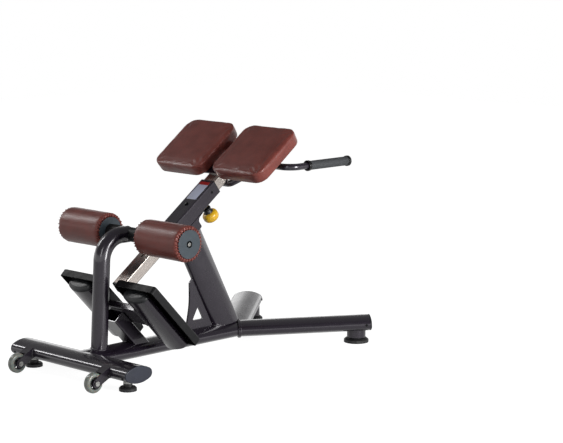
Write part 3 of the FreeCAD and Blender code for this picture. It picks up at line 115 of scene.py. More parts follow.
class ChairHardware(bpy.types.PropertyGroup):
    """Colours and sizes of the painted, plated and moulded pieces."""
    enamel: colour("Enamel", "231C28", "Powder coat of the tubes and plates")
    tray: colour("Tray enamel", "0F0F11", "Powder coat of the foot plates")
    chrome: colour("Chrome", "CBC2BB", "Satin plate of the pad slide")
    zinc: colour("Zinc", "A9A9A6", "Plating of the screws, axle and pin")
    moulded: colour("Moulded black", "1B1D20", "Tube caps and bushings")
    oxide: colour("Black oxide", "121315", "Blackened screws, barrel and washers")
    disc: colour("Roller disc", "2D3840", "End discs of the ankle rollers")
    rear_cap: colour("Rear cap", "1D2130", "Caps of the rear cross tube")
    rubber: colour("Rubber", "18181A", "Feet and foot mats")
    tyre: colour("Tyre", "7F837C", "Rims of the transport wheels")
    knob: colour("Knob", "E3B21F", "Pull knob of the pop pin")
    bead: size("Weld bead", 2.6, "Radius of a weld bead")
    ripple: size("Weld ripple", 3.2, "Distance between the ripples of a weld bead")


class ChairUpholstery(bpy.types.PropertyGroup):
    """Colours and sizes of the pads, rollers and grips."""
    leather: colour("Leather", "7A3B33", "Cover of the thigh pads and ankle rollers")
    grip: colour("Grip", "3C3E41", "Foam of the handle grips")
    grip_end: colour("Grip collar", "0E0E10", "Glossy collars at the grips' ends")
    pad_corner: size("Pad corner", 45, "Plan radius of a pad's corners")
    pad_taper: size("Pad taper", 3, "How far a pad's sides draw in towards its board")
    pad_cell: size("Pad mesh", 4, "Voxel of the pads' cloth mesh")
    pad_swell: size("Pad fullness", 5, "How far a pad's sides stand out of the plain cushion")
    pad_cap: size("Pad swell", 2, "Furthest that the cloth solver may move a pad's skin")
    roller_swell: size("Roller fullness", 6.5, "How far a roller's cover stands out of the plain foam")
    roller_cap: size("Roller swell", 2, "Furthest that the cloth solver may move a roller's skin")
    pleats: bpy.props.IntProperty(name="Roller pleats", default=30, min=8,
                                  description="Gathers of the leather round a roller's disc")
    pleat_depth: size("Pleat depth", 3.4, "Depth of those gathers")


class ChairStage(bpy.types.PropertyGroup):
    """Camera, lamps and floor."""
    azimuth: bpy.props.FloatProperty(name="Azimuth", subtype="ANGLE", default=radians(-45.17),
                                     description="Camera's bearing: 0 looks along +Y")
    elevation: bpy.props.FloatProperty(name="Elevation", subtype="ANGLE", default=radians(8.82),
                                       description="Camera's height above the horizon")
    distance: size("Distance", 7235.3, "Camera to the point that it looks at")
    lens: bpy.props.FloatProperty(name="Lens", default=119.6, min=1, unit="CAMERA",
                                  description="Focal length for a 36 mm wide sensor")
    side_lamp: power("Side lamp", 106, "Power of the large lamp on the camera's right")
    front_lamp: power("Front lamp", 12, "Power of the lamp on the camera's left")
    rim_lamp: power("Rim lamp", 26, "Power of the narrow lamp behind and above")
    walls: bpy.props.FloatProperty(name="Walls", default=0.43, min=0,
                                   description="Brightness of the studio's walls")
    sky: bpy.props.FloatProperty(name="Ceiling", default=0.19, min=0,
                                 description="Brightness of the studio overhead")


# ---------------------------------------------------------------- finishes

BIRCH = "B58E5F"
PLY_MM = 1.5                # thickness of one veneer
WAVE_PERIOD = 20            # cells of Blender's wave texture that make one band
GRIP_COLLAR = 12.5 * MM     # length of the glossy collar at each end of a grip
COLLAR_ROUGH = (0.16, 0.16, 0.16, 1)
PRINT_FIELD = "B6BBD0"
PRINT_BAND = "A01414"


def add(tree, kind, links=None, **settings):
    """Adds a node with its settings; each link is another node's output or a plain value."""
    node = tree.nodes.new("ShaderNode" + kind)
    for name, value in settings.items():
        setattr(node, name, value)
    for name, value in (links or {}).items():
        if isinstance(value, bpy.types.NodeSocket):
            tree.links.new(value, node.inputs[name])
        else:
            node.inputs[name].default_value = value
    return node


def number(tree, operation, *values):
    """A number worked out from one or two others."""
    return add(tree, "Math", dict(enumerate(values)), operation=operation).outputs[0]


def emptied(owner):
    """The node tree of a material or world, cleared."""
    owner.use_nodes = True
    owner.node_tree.nodes.clear()
    return owner.node_tree


def finish(name, **values):
    """A new material: its tree, its shader and the row-frame coordinates of its object."""
    material = bpy.data.materials.new(name)
    tree = emptied(material)
    shader = add(tree, "BsdfPrincipled", {k.replace("_", " "): v for k, v in values.items()})
    add(tree, "OutputMaterial", {"Surface": shader.outputs[0]})
    return material, tree, shader, add(tree, "TexCoord").outputs["Object"]


def per(millimetres):
    """Texture scale that gives one cell to each stretch of this length."""
    return 1 / (millimetres * MM)


def grain(tree, place, millimetres, detail=2.0):
    """Noise with blotches of one size, from 0 to 1."""
    return add(tree, "TexNoise", {"Vector": place, "Scale": per(millimetres), "Detail": detail}).outputs[0]


def spread(tree, factor, low, high):
    """A number that runs from low to high with a noise factor."""
    return add(tree, "MapRange", {"Value": factor, "From Min": 0.3, "From Max": 0.7,
                                  "To Min": low, "To Max": high}).outputs[0]


def tint(tree, factor, rgb, darker, lighter):
    """A colour that varies between two shares of itself with a noise factor."""
    ramp = add(tree, "ValToRGB", {"Fac": factor})
    for stop, where, share in zip(ramp.color_ramp.elements, (0.3, 0.7), (darker, lighter)):
        stop.position = where
        stop.color = (*(min(1.0, c * share) for c in rgb), 1)
    return ramp.outputs[0]


def relief(tree, height, depth_mm):
    """Surface relief from a height of 0 to 1."""
    return add(tree, "Bump", {"Height": height, "Distance": depth_mm * MM}).outputs[0]


def join(tree, shader, **links):
    """Links outputs to a shader's sockets."""
    for name, output in links.items():
        tree.links.new(output, shader.inputs[name.replace("_", " ")])


def leaned(tree, place):
    """Coordinates turned so that their first axis runs along the slide."""
    rotation = (0, np.arctan2(ALONG.z, ALONG.x), 0)
    return add(tree, "Mapping", {"Vector": place, "Rotation": rotation}).outputs[0]


def powder_coat(settings):
    """Polyester powder coat, sprayed and baked: a deep purple-black gloss with metal flake under it."""
    material, tree, shader, place = finish(
        "polyester_powder_coat", Metallic=0.25, IOR=1.5, Coat_Weight=0.8, Coat_Roughness=0.05)
    # aluminium flake of about 0.4 mm sparkles faintly in the colour
    flake = add(tree, "TexVoronoi", {"Vector": place, "Scale": per(0.4)}).outputs["Color"]
    join(tree, shader, Base_Color=tint(tree, flake, settings.enamel, 0.97, 1.04),
         Roughness=spread(tree, grain(tree, place, 60), 0.24, 0.32),
         # the orange peel of the baked film, about 3 mm from crest to crest
         Normal=relief(tree, grain(tree, place, 4, 1), 0.001))
    return material


def tray_coat(settings):
    """Epoxy powder coat with a fine leather texture: black, low gloss, slightly sandy."""
    material, tree, shader, place = finish("epoxy_powder_coat", IOR=1.42, Specular_IOR_Level=0.3)
    join(tree, shader, Base_Color=tint(tree, grain(tree, place, 40), settings.tray, 0.8, 1.25),
         Roughness=spread(tree, grain(tree, place, 25), 0.46, 0.58),
         Normal=relief(tree, grain(tree, place, 1.2, 3), 0.05))
    return material


def satin_chrome(settings):
    """Hard chromium on a tube brushed lengthwise: soft mirror with hair lines along the slide."""
    material, tree, shader, place = finish("satin_chromium_plate", Metallic=1.0)
    # lengthwise hair lines: the noise is stretched a hundredfold along the slide
    lines = add(tree, "Mapping", {"Vector": leaned(tree, place), "Scale": (0.01, 1, 1)}).outputs[0]
    hair = grain(tree, lines, 0.8, 3)
    join(tree, shader, Base_Color=tint(tree, hair, settings.chrome, 0.93, 1.03),
         Roughness=spread(tree, hair, 0.2, 0.34), Normal=relief(tree, hair, 0.006))
    return material


def zinc_plate(settings):
    """Zinc plate with clear passivation on turned steel: bright grey, blotched and a little dull."""
    material, tree, shader, place = finish("zinc_plate", Metallic=1.0)
    blotch = grain(tree, place, 6)
    join(tree, shader, Base_Color=tint(tree, blotch, settings.zinc, 0.75, 1.05),
         Roughness=spread(tree, blotch, 0.25, 0.42), Normal=relief(tree, grain(tree, place, 0.8), 0.01))
    return material


def moulded(name, rgb, rough, spark_mm=0.6, depth_mm=0.03):
    """Injection-moulded plastic with an eroded mould texture: matt with a fine even grain."""
    material, tree, shader, place = finish(name, IOR=1.5)
    join(tree, shader, Base_Color=tint(tree, grain(tree, place, 30), rgb, 0.88, 1.12),
         Roughness=spread(tree, grain(tree, place, 12), rough - 0.06, rough + 0.06),
         Normal=relief(tree, grain(tree, place, spark_mm, 3), depth_mm))
    return material


def leather(settings):
    """Pigmented upholstery leather, embossed: red-brown, satin, with pebbles, pores, soft clouding and painted
    shade in the furrows.
    """
    material, tree, shader, place = finish(
        "embossed_leather", IOR=1.48, Specular_IOR_Level=0.38, Coat_Weight=0.18, Coat_Roughness=0.24)
    # pebbles of about 1.6 mm, broken up so that no two are alike
    warp = add(tree, "TexNoise", {"Vector": place, "Scale": per(4), "Detail": 2.0}).outputs["Color"]
    bent = add(tree, "MixRGB", {"Fac": 0.002, "Color1": place, "Color2": warp}, blend_type="ADD").outputs[0]
    pebble = add(tree, "TexVoronoi", {"Vector": bent, "Scale": per(1.6)}, feature="DISTANCE_TO_EDGE")
    furrow = add(tree, "MapRange", {"Value": pebble.outputs["Distance"], "From Min": 0.0, "From Max": 0.25})
    cloud = grain(tree, place, 45, 3)
    skin = tint(tree, cloud, settings.leather, 0.86, 1.14)
    # painted shade: the colour is darkened to 0.82 in the furrows between the pebbles, where shade would fall
    painted_furrow_shade = add(tree, "MapRange", {"Value": furrow.outputs[0], "To Min": 0.82, "To Max": 1.0}).outputs[0]
    hue = add(tree, "MixRGB", {"Fac": 1.0, "Color1": skin, "Color2": painted_furrow_shade}, blend_type="MULTIPLY").outputs[0]
    fine = relief(tree, furrow.outputs[0], 0.05)
    broad = add(tree, "Bump", {"Height": grain(tree, place, 9, 3), "Distance": 0.12 * MM, "Normal": fine})
    join(tree, shader, Base_Color=hue, Roughness=spread(tree, cloud, 0.33, 0.45), Normal=broad.outputs[0])
    return material


def plywood():
    """Sanded birch plywood: pale veneers 1.5 mm thick, dark glue lines at the edges."""
    material, tree, shader, place = finish("birch_plywood", IOR=1.5, Roughness=0.65)
    plies = add(tree, "TexWave", {"Vector": leaned(tree, place), "Scale": per(PLY_MM) / WAVE_PERIOD,
                                  "Distortion": 0.4}, bands_direction="Z").outputs[0]
    join(tree, shader, Base_Color=tint(tree, plies, linear(BIRCH), 0.6, 1.1),
         Normal=relief(tree, grain(tree, place, 1), 0.03))
    return material


def rubber(name, rgb, rough):
    """Compression-moulded rubber: black with a grey bloom and a dull skin."""
    material, tree, shader, place = finish(name, IOR=1.52)
    bloom = grain(tree, place, 15, 4)
    join(tree, shader, Base_Color=tint(tree, bloom, rgb, 0.8, 1.35),
         Roughness=spread(tree, bloom, rough, rough + 0.14),
         Normal=relief(tree, grain(tree, place, 1.0, 3), 0.06))
    return material


def urethane(settings):
    """Cast polyurethane: grey, cloudy and a little see-through, smooth from the mould."""
    material, tree, shader, place = finish(
        "cast_polyurethane", IOR=1.49, Subsurface_Weight=0.25, Subsurface_Scale=4 * MM, Coat_Weight=0.3)
    cloud = grain(tree, place, 10, 3)
    join(tree, shader, Base_Color=tint(tree, cloud, settings.tyre, 0.85, 1.12),
         Roughness=spread(tree, cloud, 0.28, 0.42), Normal=relief(tree, grain(tree, place, 2), 0.03))
    return material


def phenolic(settings):
    """Polished cast phenolic: warm yellow, glossy, with faint mould swirls."""
    material, tree, shader, place = finish("cast_phenolic", IOR=1.55, Coat_Weight=0.35, Coat_Roughness=0.08)
    swirl = grain(tree, place, 14, 3)
    join(tree, shader, Base_Color=tint(tree, swirl, settings.knob, 0.9, 1.08),
         Roughness=spread(tree, swirl, 0.26, 0.36), Normal=relief(tree, grain(tree, place, 4), 0.04))
    return material


def grip_foam(settings):
    """Dipped nitrile foam: charcoal with a close pebble for the hand, and glossy collars."""
    material, tree, shader, place = finish("nitrile_foam", IOR=1.5)
    low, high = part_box("grip_left")
    run = add(tree, "SeparateXYZ", {"Vector": place}).outputs["X"]
    off = number(tree, "ABSOLUTE", number(tree, "SUBTRACT", run, (low.x + high.x) / 2))
    ends = number(tree, "GREATER_THAN", off, (high.x - low.x) / 2 - GRIP_COLLAR)
    pebble = add(tree, "TexVoronoi", {"Vector": place, "Scale": per(2.2)}).outputs["Distance"]
    foam = tint(tree, grain(tree, place, 8, 4), settings.grip, 0.8, 1.2)
    hue = add(tree, "MixRGB", {"Fac": ends, "Color1": foam, "Color2": (*settings.grip_end, 1)}).outputs[0]
    dull = spread(tree, pebble, 0.6, 0.78)
    gloss = add(tree, "MixRGB", {"Fac": ends, "Color1": dull, "Color2": COLLAR_ROUGH}).outputs[0]
    join(tree, shader, Base_Color=hue, Roughness=gloss, Normal=relief(tree, pebble, 0.2))
    return material


def black_oxide(settings):
    """Blackened steel: near black with a dull oily sheen and lighter rubbed patches."""
    material, tree, shader, place = finish("black_oxide_steel", Metallic=0.6, IOR=1.5)
    rub = grain(tree, place, 5, 3)
    join(tree, shader, Base_Color=tint(tree, rub, settings.oxide, 0.8, 1.6),
         Roughness=spread(tree, rub, 0.3, 0.46), Normal=relief(tree, grain(tree, place, 0.8), 0.01))
    return material


def ringed_bolt(settings, name, centre, along, bright_mm):
    """A plated screw in a blackened surround: bright out to one radius from its axis, black beyond."""
    material, tree, shader, place = finish(name, Metallic=1.0)
    from_axis = add(tree, "VectorMath", {0: place, 1: tuple(centre)}, operation="SUBTRACT").outputs[0]
    rise = add(tree, "VectorMath", {0: from_axis, 1: tuple(along)}, operation="DOT_PRODUCT").outputs["Value"]
    lift = add(tree, "VectorMath", {0: tuple(along), "Scale": rise}, operation="SCALE").outputs[0]
    radius = add(tree, "VectorMath", {0: from_axis, 1: lift}, operation="DISTANCE").outputs["Value"]
    outside = number(tree, "GREATER_THAN", radius, bright_mm * MM)
    blotch = grain(tree, place, 3)
    plate = tint(tree, blotch, settings.zinc, 0.8, 1.1)
    hue = add(tree, "MixRGB", {"Fac": outside, "Color1": plate, "Color2": (*settings.oxide, 1)}).outputs[0]
    join(tree, shader, Base_Color=hue, Roughness=spread(tree, blotch, 0.25, 0.4),
         Normal=relief(tree, grain(tree, place, 0.8), 0.01))
    return material


def vinyl_print():
    """Blank printed vinyl: a red band over a pale blue-grey field, satin laminate."""
    material, tree, shader, place = finish("printed_vinyl", IOR=1.46, Coat_Weight=0.4, Coat_Roughness=0.15)
    end = reach("sleeve")[1][0]
    run = add(tree, "VectorMath", {0: place, 1: tuple(ALONG)}, operation="DOT_PRODUCT").outputs["Value"]
    band = number(tree, "GREATER_THAN", run, float(end) - DECAL_END - DECAL_BAND)
    print_tone = add(tree, "MixRGB", {"Fac": band, "Color1": (*linear(PRINT_FIELD), 1),
                                      "Color2": (*linear(PRINT_BAND), 1)}).outputs[0]
    join(tree, shader, Base_Color=print_tone, Roughness=spread(tree, grain(tree, place, 5), 0.3, 0.4),
         Normal=relief(tree, grain(tree, place, 3), 0.01))
    return material


# ---------------------------------------------------------------- mesh tools

PUFF_FRAMES = 20


def reach(node, side=0):
    """Lowest and highest coordinates of a node, or of one half of it, along the slide's directions."""
    points = np.array([v.co for v in NODES[node].data.vertices if v.co.y * side >= 0])
    local = points @ np.array([ALONG, ACROSS, PROUD]).T
    return local.min(0), local.max(0)


def slide_place(along, across, proud):
    """Matrix that stands a piece on the slide's directions at one of its coordinates."""
    place = Matrix((ALONG, ACROSS, PROUD)).transposed().to_4x4()
    place.translation = ALONG * along + ACROSS * across + PROUD * proud
    return place


def new_piece(name, points, faces, place=None):
    """A mesh object of the row frame, smooth shaded."""
    mesh = bpy.data.meshes.new(name)
    mesh.from_pydata([tuple(p) for p in points], [], faces)
    if place is not None:
        mesh.transform(place)
    mesh.validate()
    mesh.shade_smooth()
    piece = bpy.data.objects.new(name, mesh)
    bpy.context.scene.collection.objects.link(piece)
    return piece


def dress(piece, material):
    """Gives a piece one material."""
    piece.data.materials.clear()
    piece.data.materials.append(material)
    return piece


def apply_modifier(piece, kind, **settings):
    """Adds a modifier and keeps its result as the piece's mesh."""
    modifier = piece.modifiers.new(kind, kind)
    for name, value in settings.items():
        setattr(modifier, name, value)
    graph = bpy.context.evaluated_depsgraph_get()
    made = bpy.data.meshes.new_from_object(piece.evaluated_get(graph), depsgraph=graph)
    piece.modifiers.clear()
    piece.data = made
    piece.data.shade_smooth()


def stacked(loops, closed_ends=True):
    """Points and faces of a skin through closed loops of equal length."""
    count = len(loops[0])
    points = [p for loop in loops for p in loop]
    faces = []
    for row in range(len(loops) - 1):
        for i in range(count):
            j = (i + 1) % count
            here, above = row * count, (row + 1) * count
            faces.append((here + i, here + j, above + j, above + i))
    if closed_ends:
        faces.append(tuple(reversed(range(count))))
        faces.append(tuple(range((len(loops) - 1) * count, len(loops) * count)))
    return points, faces


def coordinates(mesh):
    """The mesh's points as an array."""
    flat = np.empty(len(mesh.vertices) * 3, np.float32)
    mesh.vertices.foreach_get("co", flat)
    return flat.reshape(-1, 3)


def puff(piece, held, cap, pressure, stiff):
    """Blows a soft piece up with the cloth solver; no point moves further than cap."""
    scene = bpy.context.scene
    start = coordinates(piece.data)
    group = piece.vertex_groups.new(name="held")
    group.add([i for i, p in enumerate(start) if held(Vector(p))], 1.0, "REPLACE")
    cloth = piece.modifiers.new("cloth", "CLOTH")
    cloth.settings.quality = 6
    cloth.settings.mass = 0.3
    cloth.settings.tension_stiffness = stiff
    cloth.settings.compression_stiffness = stiff
    cloth.settings.shear_stiffness = 8
    cloth.settings.bending_stiffness = 3
    cloth.settings.use_pressure = True
    cloth.settings.uniform_pressure_force = pressure
    cloth.settings.vertex_group_mass = "held"
    cloth.settings.effector_weights.gravity = 0
    for frame_number in range(1, PUFF_FRAMES + 1):
        scene.frame_set(frame_number)
    graph = bpy.context.evaluated_depsgraph_get()
    blown = coordinates(piece.evaluated_get(graph).data)
    move = blown - start
    length = np.linalg.norm(move, axis=1, keepdims=True)
    move *= np.minimum(1, cap / np.maximum(length, 1e-9))
    piece.modifiers.remove(cloth)
    piece.vertex_groups.clear()
    piece.data.vertices.foreach_set("co", (start + move).astype(np.float32).ravel())
    scene.frame_set(1)


def crease(piece, shift):
    """Moves each point of a piece along its normal by shift(point)."""
    mesh = piece.data
    mesh.update()
    moves = [v.normal * shift(v.co) for v in mesh.vertices]
    for vertex, move in zip(mesh.vertices, moves):
        vertex.co += move
    mesh.update()


def swell(edge, low, high):
    """Smooth step of a value from low to high."""
    t = min(1.0, max(0.0, (edge - low) / (high - low)))
    return t * t * (3 - 2 * t)


# ---------------------------------------------------------------- thigh pads

PAD_TOP_EDGE = 6 * MM           # how far the top rolls over at its edge
PAD_FOOT_EDGE = 6 * MM
PAD_CROWN = 4 * MM
PAD_INWARD = {"left": 8 * MM, "right": 12 * MM}  # how much further each bulges towards the other
PAD_HELD = 12 * MM              # height up to which the cover is held still
PAD_PRESSURE, PAD_STIFF = 1.2, 45
PAD_SHARP = radians(50)
PAD_SEED = {"left": 7.3, "right": 2.1}
PULL_MM, LOOSE_MM, GATHER_MM, VALLEY_MM = 1.2, 0.6, 0.5, 0.8    # depths of the pads' creases
BOARD_CORNER = 37.3 * MM
POCKET_ROOM = 0.3 * MM          # between the board and its pocket
POCKET_BELOW = 20 * MM          # reach of the cutter below the pad
LOOP_POINTS = 128


def rounded_plan(half_long, half_wide, corner):
    """Points of a rectangle with round corners, anticlockwise, evenly spaced."""
    straight_x, straight_y = half_long - corner, half_wide - corner
    arc = corner * pi / 2
    total = 4 * (straight_x + straight_y + arc)
    points = []
    for i in range(LOOP_POINTS):
        walk = total * i / LOOP_POINTS
        for turn, (run, other) in enumerate([(straight_y, straight_x), (straight_x, straight_y)] * 2):
            leg = 2 * run + arc
            if walk < leg:
                break
            walk -= leg
        if walk < 2 * run:
            local = Vector((other + corner, walk - run))
        else:
            bend = (walk - 2 * run) / corner
            local = Vector((other + corner * cos(bend), run + corner * sin(bend)))
        points.append(Matrix.Rotation(turn * pi / 2, 2) @ local)
    return points


def pad_blank(half_long, half_wide, thick, inward, settings):
    """Loops of a pad from its board to its crown."""
    full = settings.pad_swell - settings.pad_cap * 0.5
    half_long, half_wide = half_long + full, half_wide + full + inward / 2
    thick = thick - settings.pad_cap * 0.5
    profile = [(settings.pad_taper + PAD_FOOT_EDGE, 0.0)]
    for step in range(1, 5):
        bend = step / 4 * pi / 2
        profile.append((settings.pad_taper + PAD_FOOT_EDGE * (1 - sin(bend)),
                        PAD_FOOT_EDGE * (1 - cos(bend))))
    shoulder = thick - PAD_CROWN - PAD_TOP_EDGE
    profile += [(settings.pad_taper * (1 - t), PAD_FOOT_EDGE + (shoulder - PAD_FOOT_EDGE) * t)
                for t in (0.33, 0.67, 1.0)]
    for step in range(1, 6):
        bend = step / 5 * pi / 2
        profile.append((PAD_TOP_EDGE * (1 - cos(bend)), shoulder + PAD_TOP_EDGE * sin(bend)))
    crown_run = half_wide - PAD_TOP_EDGE
    for share in (0.12, 0.25, 0.4, 0.6, 0.8, 0.97):
        profile.append((PAD_TOP_EDGE + crown_run * share,
                        thick - PAD_CROWN * (1 - share) ** 2))
    loops = []
    for inset, height in profile:
        corner = max(settings.pad_corner - inset, 2 * MM)
        corner = min(corner, half_wide - inset)
        plan = rounded_plan(half_long - inset, half_wide - inset, corner)
        loops.append([(p.x, p.y, height) for p in plan])
    return stacked(loops)


def hollow_out(pad, side):
    """Cuts the pocket that the pad's plywood board fills."""
    low, high = reach("pad_boards", 1 if side == "left" else -1)
    middle, half = (low + high) / 2, (high - low) / 2 + POCKET_ROOM
    plan = rounded_plan(half[0], half[1], BOARD_CORNER)
    points, faces = stacked([[(p.x, p.y, z) for p in plan] for z in (-POCKET_BELOW, 2 * half[2])])
    pocket = new_piece("pocket", points, faces, slide_place(middle[0], middle[1], low[2] - POCKET_ROOM))
    apply_modifier(pad, "BOOLEAN", operation="DIFFERENCE", object=pocket, solver="EXACT")
    bpy.data.objects.remove(pocket)
    pad.data.set_sharp_from_angle(angle=PAD_SHARP)


def make_pad(side, settings, skin):
    """One thigh pad, blown up over its board and creased round its edges."""
    node = "pad_" + side
    low, high = reach(node)
    middle, half = (low + high) / 2, (high - low) / 2
    thick = 2 * half[2]
    inward = PAD_INWARD[side]
    points, faces = pad_blank(half[0], half[1], thick, inward, settings)
    pad = new_piece("thigh_pad_" + side, points, faces)
    apply_modifier(pad, "REMESH", mode="VOXEL", voxel_size=settings.pad_cell, use_smooth_shade=True)
    puff(pad, lambda p: p.z < PAD_HELD, settings.pad_cap, PAD_PRESSURE, PAD_STIFF)
    apply_modifier(pad, "SMOOTH", factor=0.5, iterations=3)
    apply_modifier(pad, "SUBSURF", levels=1, render_levels=1)
    seed = Vector((0.0, PAD_SEED[side], 0.0))

    def shift(point):
        """Pull lines under the rolled edge, a loose top and gathers at the corners' foot."""
        edge_x, edge_y = abs(point.x) / half[0], abs(point.y) / half[1]
        edge = max(edge_x, edge_y)
        rim = swell(edge, 0.86, 0.95) * swell(point.z, 0.45 * thick, 0.72 * thick)
        run = point.y if edge_x > edge_y else point.x
        drop = thick - point.z + (half[0] - abs(point.x) if edge_x > edge_y else half[1] - abs(point.y))
        wave = Vector((run * 26, drop * 95 + run * 5, edge_x)) + seed
        pull = noise.noise(wave) * PULL_MM * MM * rim
        loose = noise.noise(point * 8 + seed) * LOOSE_MM * MM * swell(point.z, 0.4 * thick, 0.9 * thick)
        corner = swell(hypot(point.x / half[0], point.y / half[1]), 1.1, 1.3)
        turn = np.arctan2(point.y / half[1], point.x / half[0])
        foot = 1 - swell(point.z, 0.05 * thick, 0.4 * thick)
        gather = abs(sin(turn * 40)) * GATHER_MM * MM * corner * foot
        # a shallow valley runs inside the rolled edge, where the foam is pulled down hardest
        ring = swell(edge, 0.72, 0.88) * (1 - swell(edge, 0.88, 0.95))
        valley = ring * swell(point.z, 0.8 * thick, 0.9 * thick)
        return pull + loose - gather - valley * VALLEY_MM * MM

    crease(pad, shift)
    lean = -inward / 2 if side == "left" else inward / 2
    pad.data.transform(slide_place(middle[0], middle[1] + lean, low[2]))
    hollow_out(pad, side)
    dress(pad, skin)
    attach(pad, "pad_carriage")
    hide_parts(node)


class CHAIR_OT_pads(bpy.types.Operator):
    """Upholster the two thigh pads"""
    bl_idname = "chair.pads"
    bl_label = "Thigh pads"

    def execute(self, context):
        settings = context.scene.chair_upholstery
        skin = shared("leather", leather, settings)
        for side in SIDES:
            make_pad(side, settings, skin)
        return {"FINISHED"}


# ---------------------------------------------------------------- ankle rollers

ROLLER_SEGMENTS = 240
ROLLER_FOLD = 1.9           # where the long slack fold lies round the roller, in radians from ahead
FOLD_MM, FOLD_WIDE = 2.0, 0.09      # height of that fold's crest, and its width in radians
DIP_SHARE, DIP_BACK, DIP_WIDE = 0.6, 0.16, 0.1  # the dip beside the crest
SLACK_MM = 0.9              # depth of the loose waves between the discs
ROLLER_PRESSURE, ROLLER_STIFF = 4.0, 15
ROLLER_SEED = {"left": 3.7, "right": 9.4}
ROLLER_SEAT = 5.3 * MM      # how far the disc sits inside the cover's end
BORE_SHARE = 0.54           # bore of the cover as a share of its disc
# the cover's shoulder, in from the outer radius and in from the end, then its lip round the disc
SHOULDER_MM = ((0.5, 12), (1.8, 8), (4, 4.6), (7, 2.2), (10, 1))
LIP_MM = ((2, 1.4), (1, 2.4), (0.6, 3.6))


def roller_profile(outer, disc, bore, half):
    """Radius and place along the axle round half a roller's section, from its middle to its bore."""
    barrel = [(outer, half * share) for share in (0.0, 0.2, 0.4, 0.6, 0.75)] + [(outer, half - 17 * MM)]
    shoulder = [(outer - drop * MM, half - inside * MM) for drop, inside in SHOULDER_MM]
    lip = [(disc + rise * MM, half - inside * MM) for rise, inside in LIP_MM]
    seat = half - ROLLER_SEAT
    return [*barrel, *shoulder, *lip, (disc + 0.4 * MM, seat), ((disc + bore) / 2, seat), (bore, seat),
            (bore, half * 0.5)]


def make_roller(side, settings, skin):
    """One roller cover, blown up over its foam and gathered round its end discs."""
    low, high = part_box("roller_pad_" + side)
    hub_low, hub_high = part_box("roller_hub_" + side)
    centre = (low + high) / 2
    outer = (high.z - low.z) / 2 + settings.roller_swell
    disc = (hub_high.z - hub_low.z) / 2
    half = (high.y - low.y) / 2
    bore = disc * BORE_SHARE
    slack = settings.roller_cap * 0.5
    section = roller_profile(outer - slack, disc, bore, half)
    section += [(radius, -along) for radius, along in reversed(section[1:])]
    loops = []
    turns = [2 * pi * i / ROLLER_SEGMENTS for i in range(ROLLER_SEGMENTS)]
    for radius, along in section:
        loops.append([(radius * cos(turn), along, radius * sin(turn)) for turn in turns])
    loops.append(loops[0])
    points, faces = stacked(loops, closed_ends=False)
    cover = new_piece("roller_cover_" + side, points, faces)
    apply_modifier(cover, "WELD", merge_threshold=0.01 * MM)
    puff(cover, lambda p: hypot(p.x, p.z) < disc + 2 * MM, settings.roller_cap, ROLLER_PRESSURE, ROLLER_STIFF)
    apply_modifier(cover, "SUBSURF", levels=1, render_levels=1)
    seed = Vector((0.0, ROLLER_SEED[side], 0.0))

    def shift(point):
        """Gathers round the discs, and the slack of the cover between them."""
        turn = np.arctan2(point.z, point.x)
        radius = hypot(point.x, point.z)
        if radius < disc + 0.1 * MM:
            return 0.0
        wander = noise.noise(Vector((cos(turn) * 2.2, sin(turn) * 2.2, point.y * 8)) + seed)
        phase = settings.pleats * turn / (2 * pi) + 0.5 * wander
        fold = floor(phase)
        # each fold leans over the next, and runs its own way up the shoulder
        reach_up = (9 + 5 * noise.cell(Vector((fold % settings.pleats, seed.y, 0)))) * MM
        end = swell(abs(point.y), half - reach_up, half - 2.5 * MM)
        across = abs(phase - fold - 0.5)
        gap = 0.13 + 0.2 * swell(-radius, -disc - 11 * MM, -disc - 1 * MM)
        notch = (1 - swell(across, 0.04, gap)) * swell(-radius, 3 * MM - outer, 8 * MM - outer)
        gather = (0.3 + 0.4 * (phase - fold) - 1.6 * notch) * settings.pleat_depth * end
        slack_wave = noise.noise(Vector((point.x * 14, point.y * 7, point.z * 14)) + seed) * SLACK_MM * MM
        drift = 0.09 * noise.noise(Vector((point.y * 16, seed.y, 0)))
        drift += 0.03 * noise.noise(Vector((point.y * 60, 0, seed.y)))
        lie = ROLLER_FOLD + drift
        crest = exp(-((turn - lie) / FOLD_WIDE) ** 2)
        crest -= DIP_SHARE * exp(-((turn - lie + DIP_BACK) / DIP_WIDE) ** 2)
        crest *= FOLD_MM * MM * swell(noise.noise(Vector((point.y * 22, seed.y, 3.1))), -0.35, 0.1)
        return gather + (slack_wave + crest) * (1 - end)

    crease(cover, shift)
    cover.data.transform(Matrix.Translation(centre))
    dress(cover, skin)
    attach(cover, "roller_" + side)
    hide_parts("roller_pad_" + side)


class CHAIR_OT_rollers(bpy.types.Operator):
    """Cover the two ankle rollers"""
    bl_idname = "chair.rollers"
    bl_label = "Ankle rollers"

    def execute(self, context):
        settings = context.scene.chair_upholstery
        skin = shared("leather", leather, settings)
        for side in SIDES:
            make_roller(side, settings, skin)
        return {"FINISHED"}


# ---------------------------------------------------------------- finishes of the frame's own pieces

KEPT = {}
HARD_SHARP = radians(32)
AXLE_BRIGHT_MM, STOP_BRIGHT_MM = 7, 4   # radii out to which the two screws are bright


def shared(key, maker, *settings):
    """The material of that name, made once."""
    if key not in KEPT:
        KEPT[key] = maker(*settings)
    return KEPT[key]


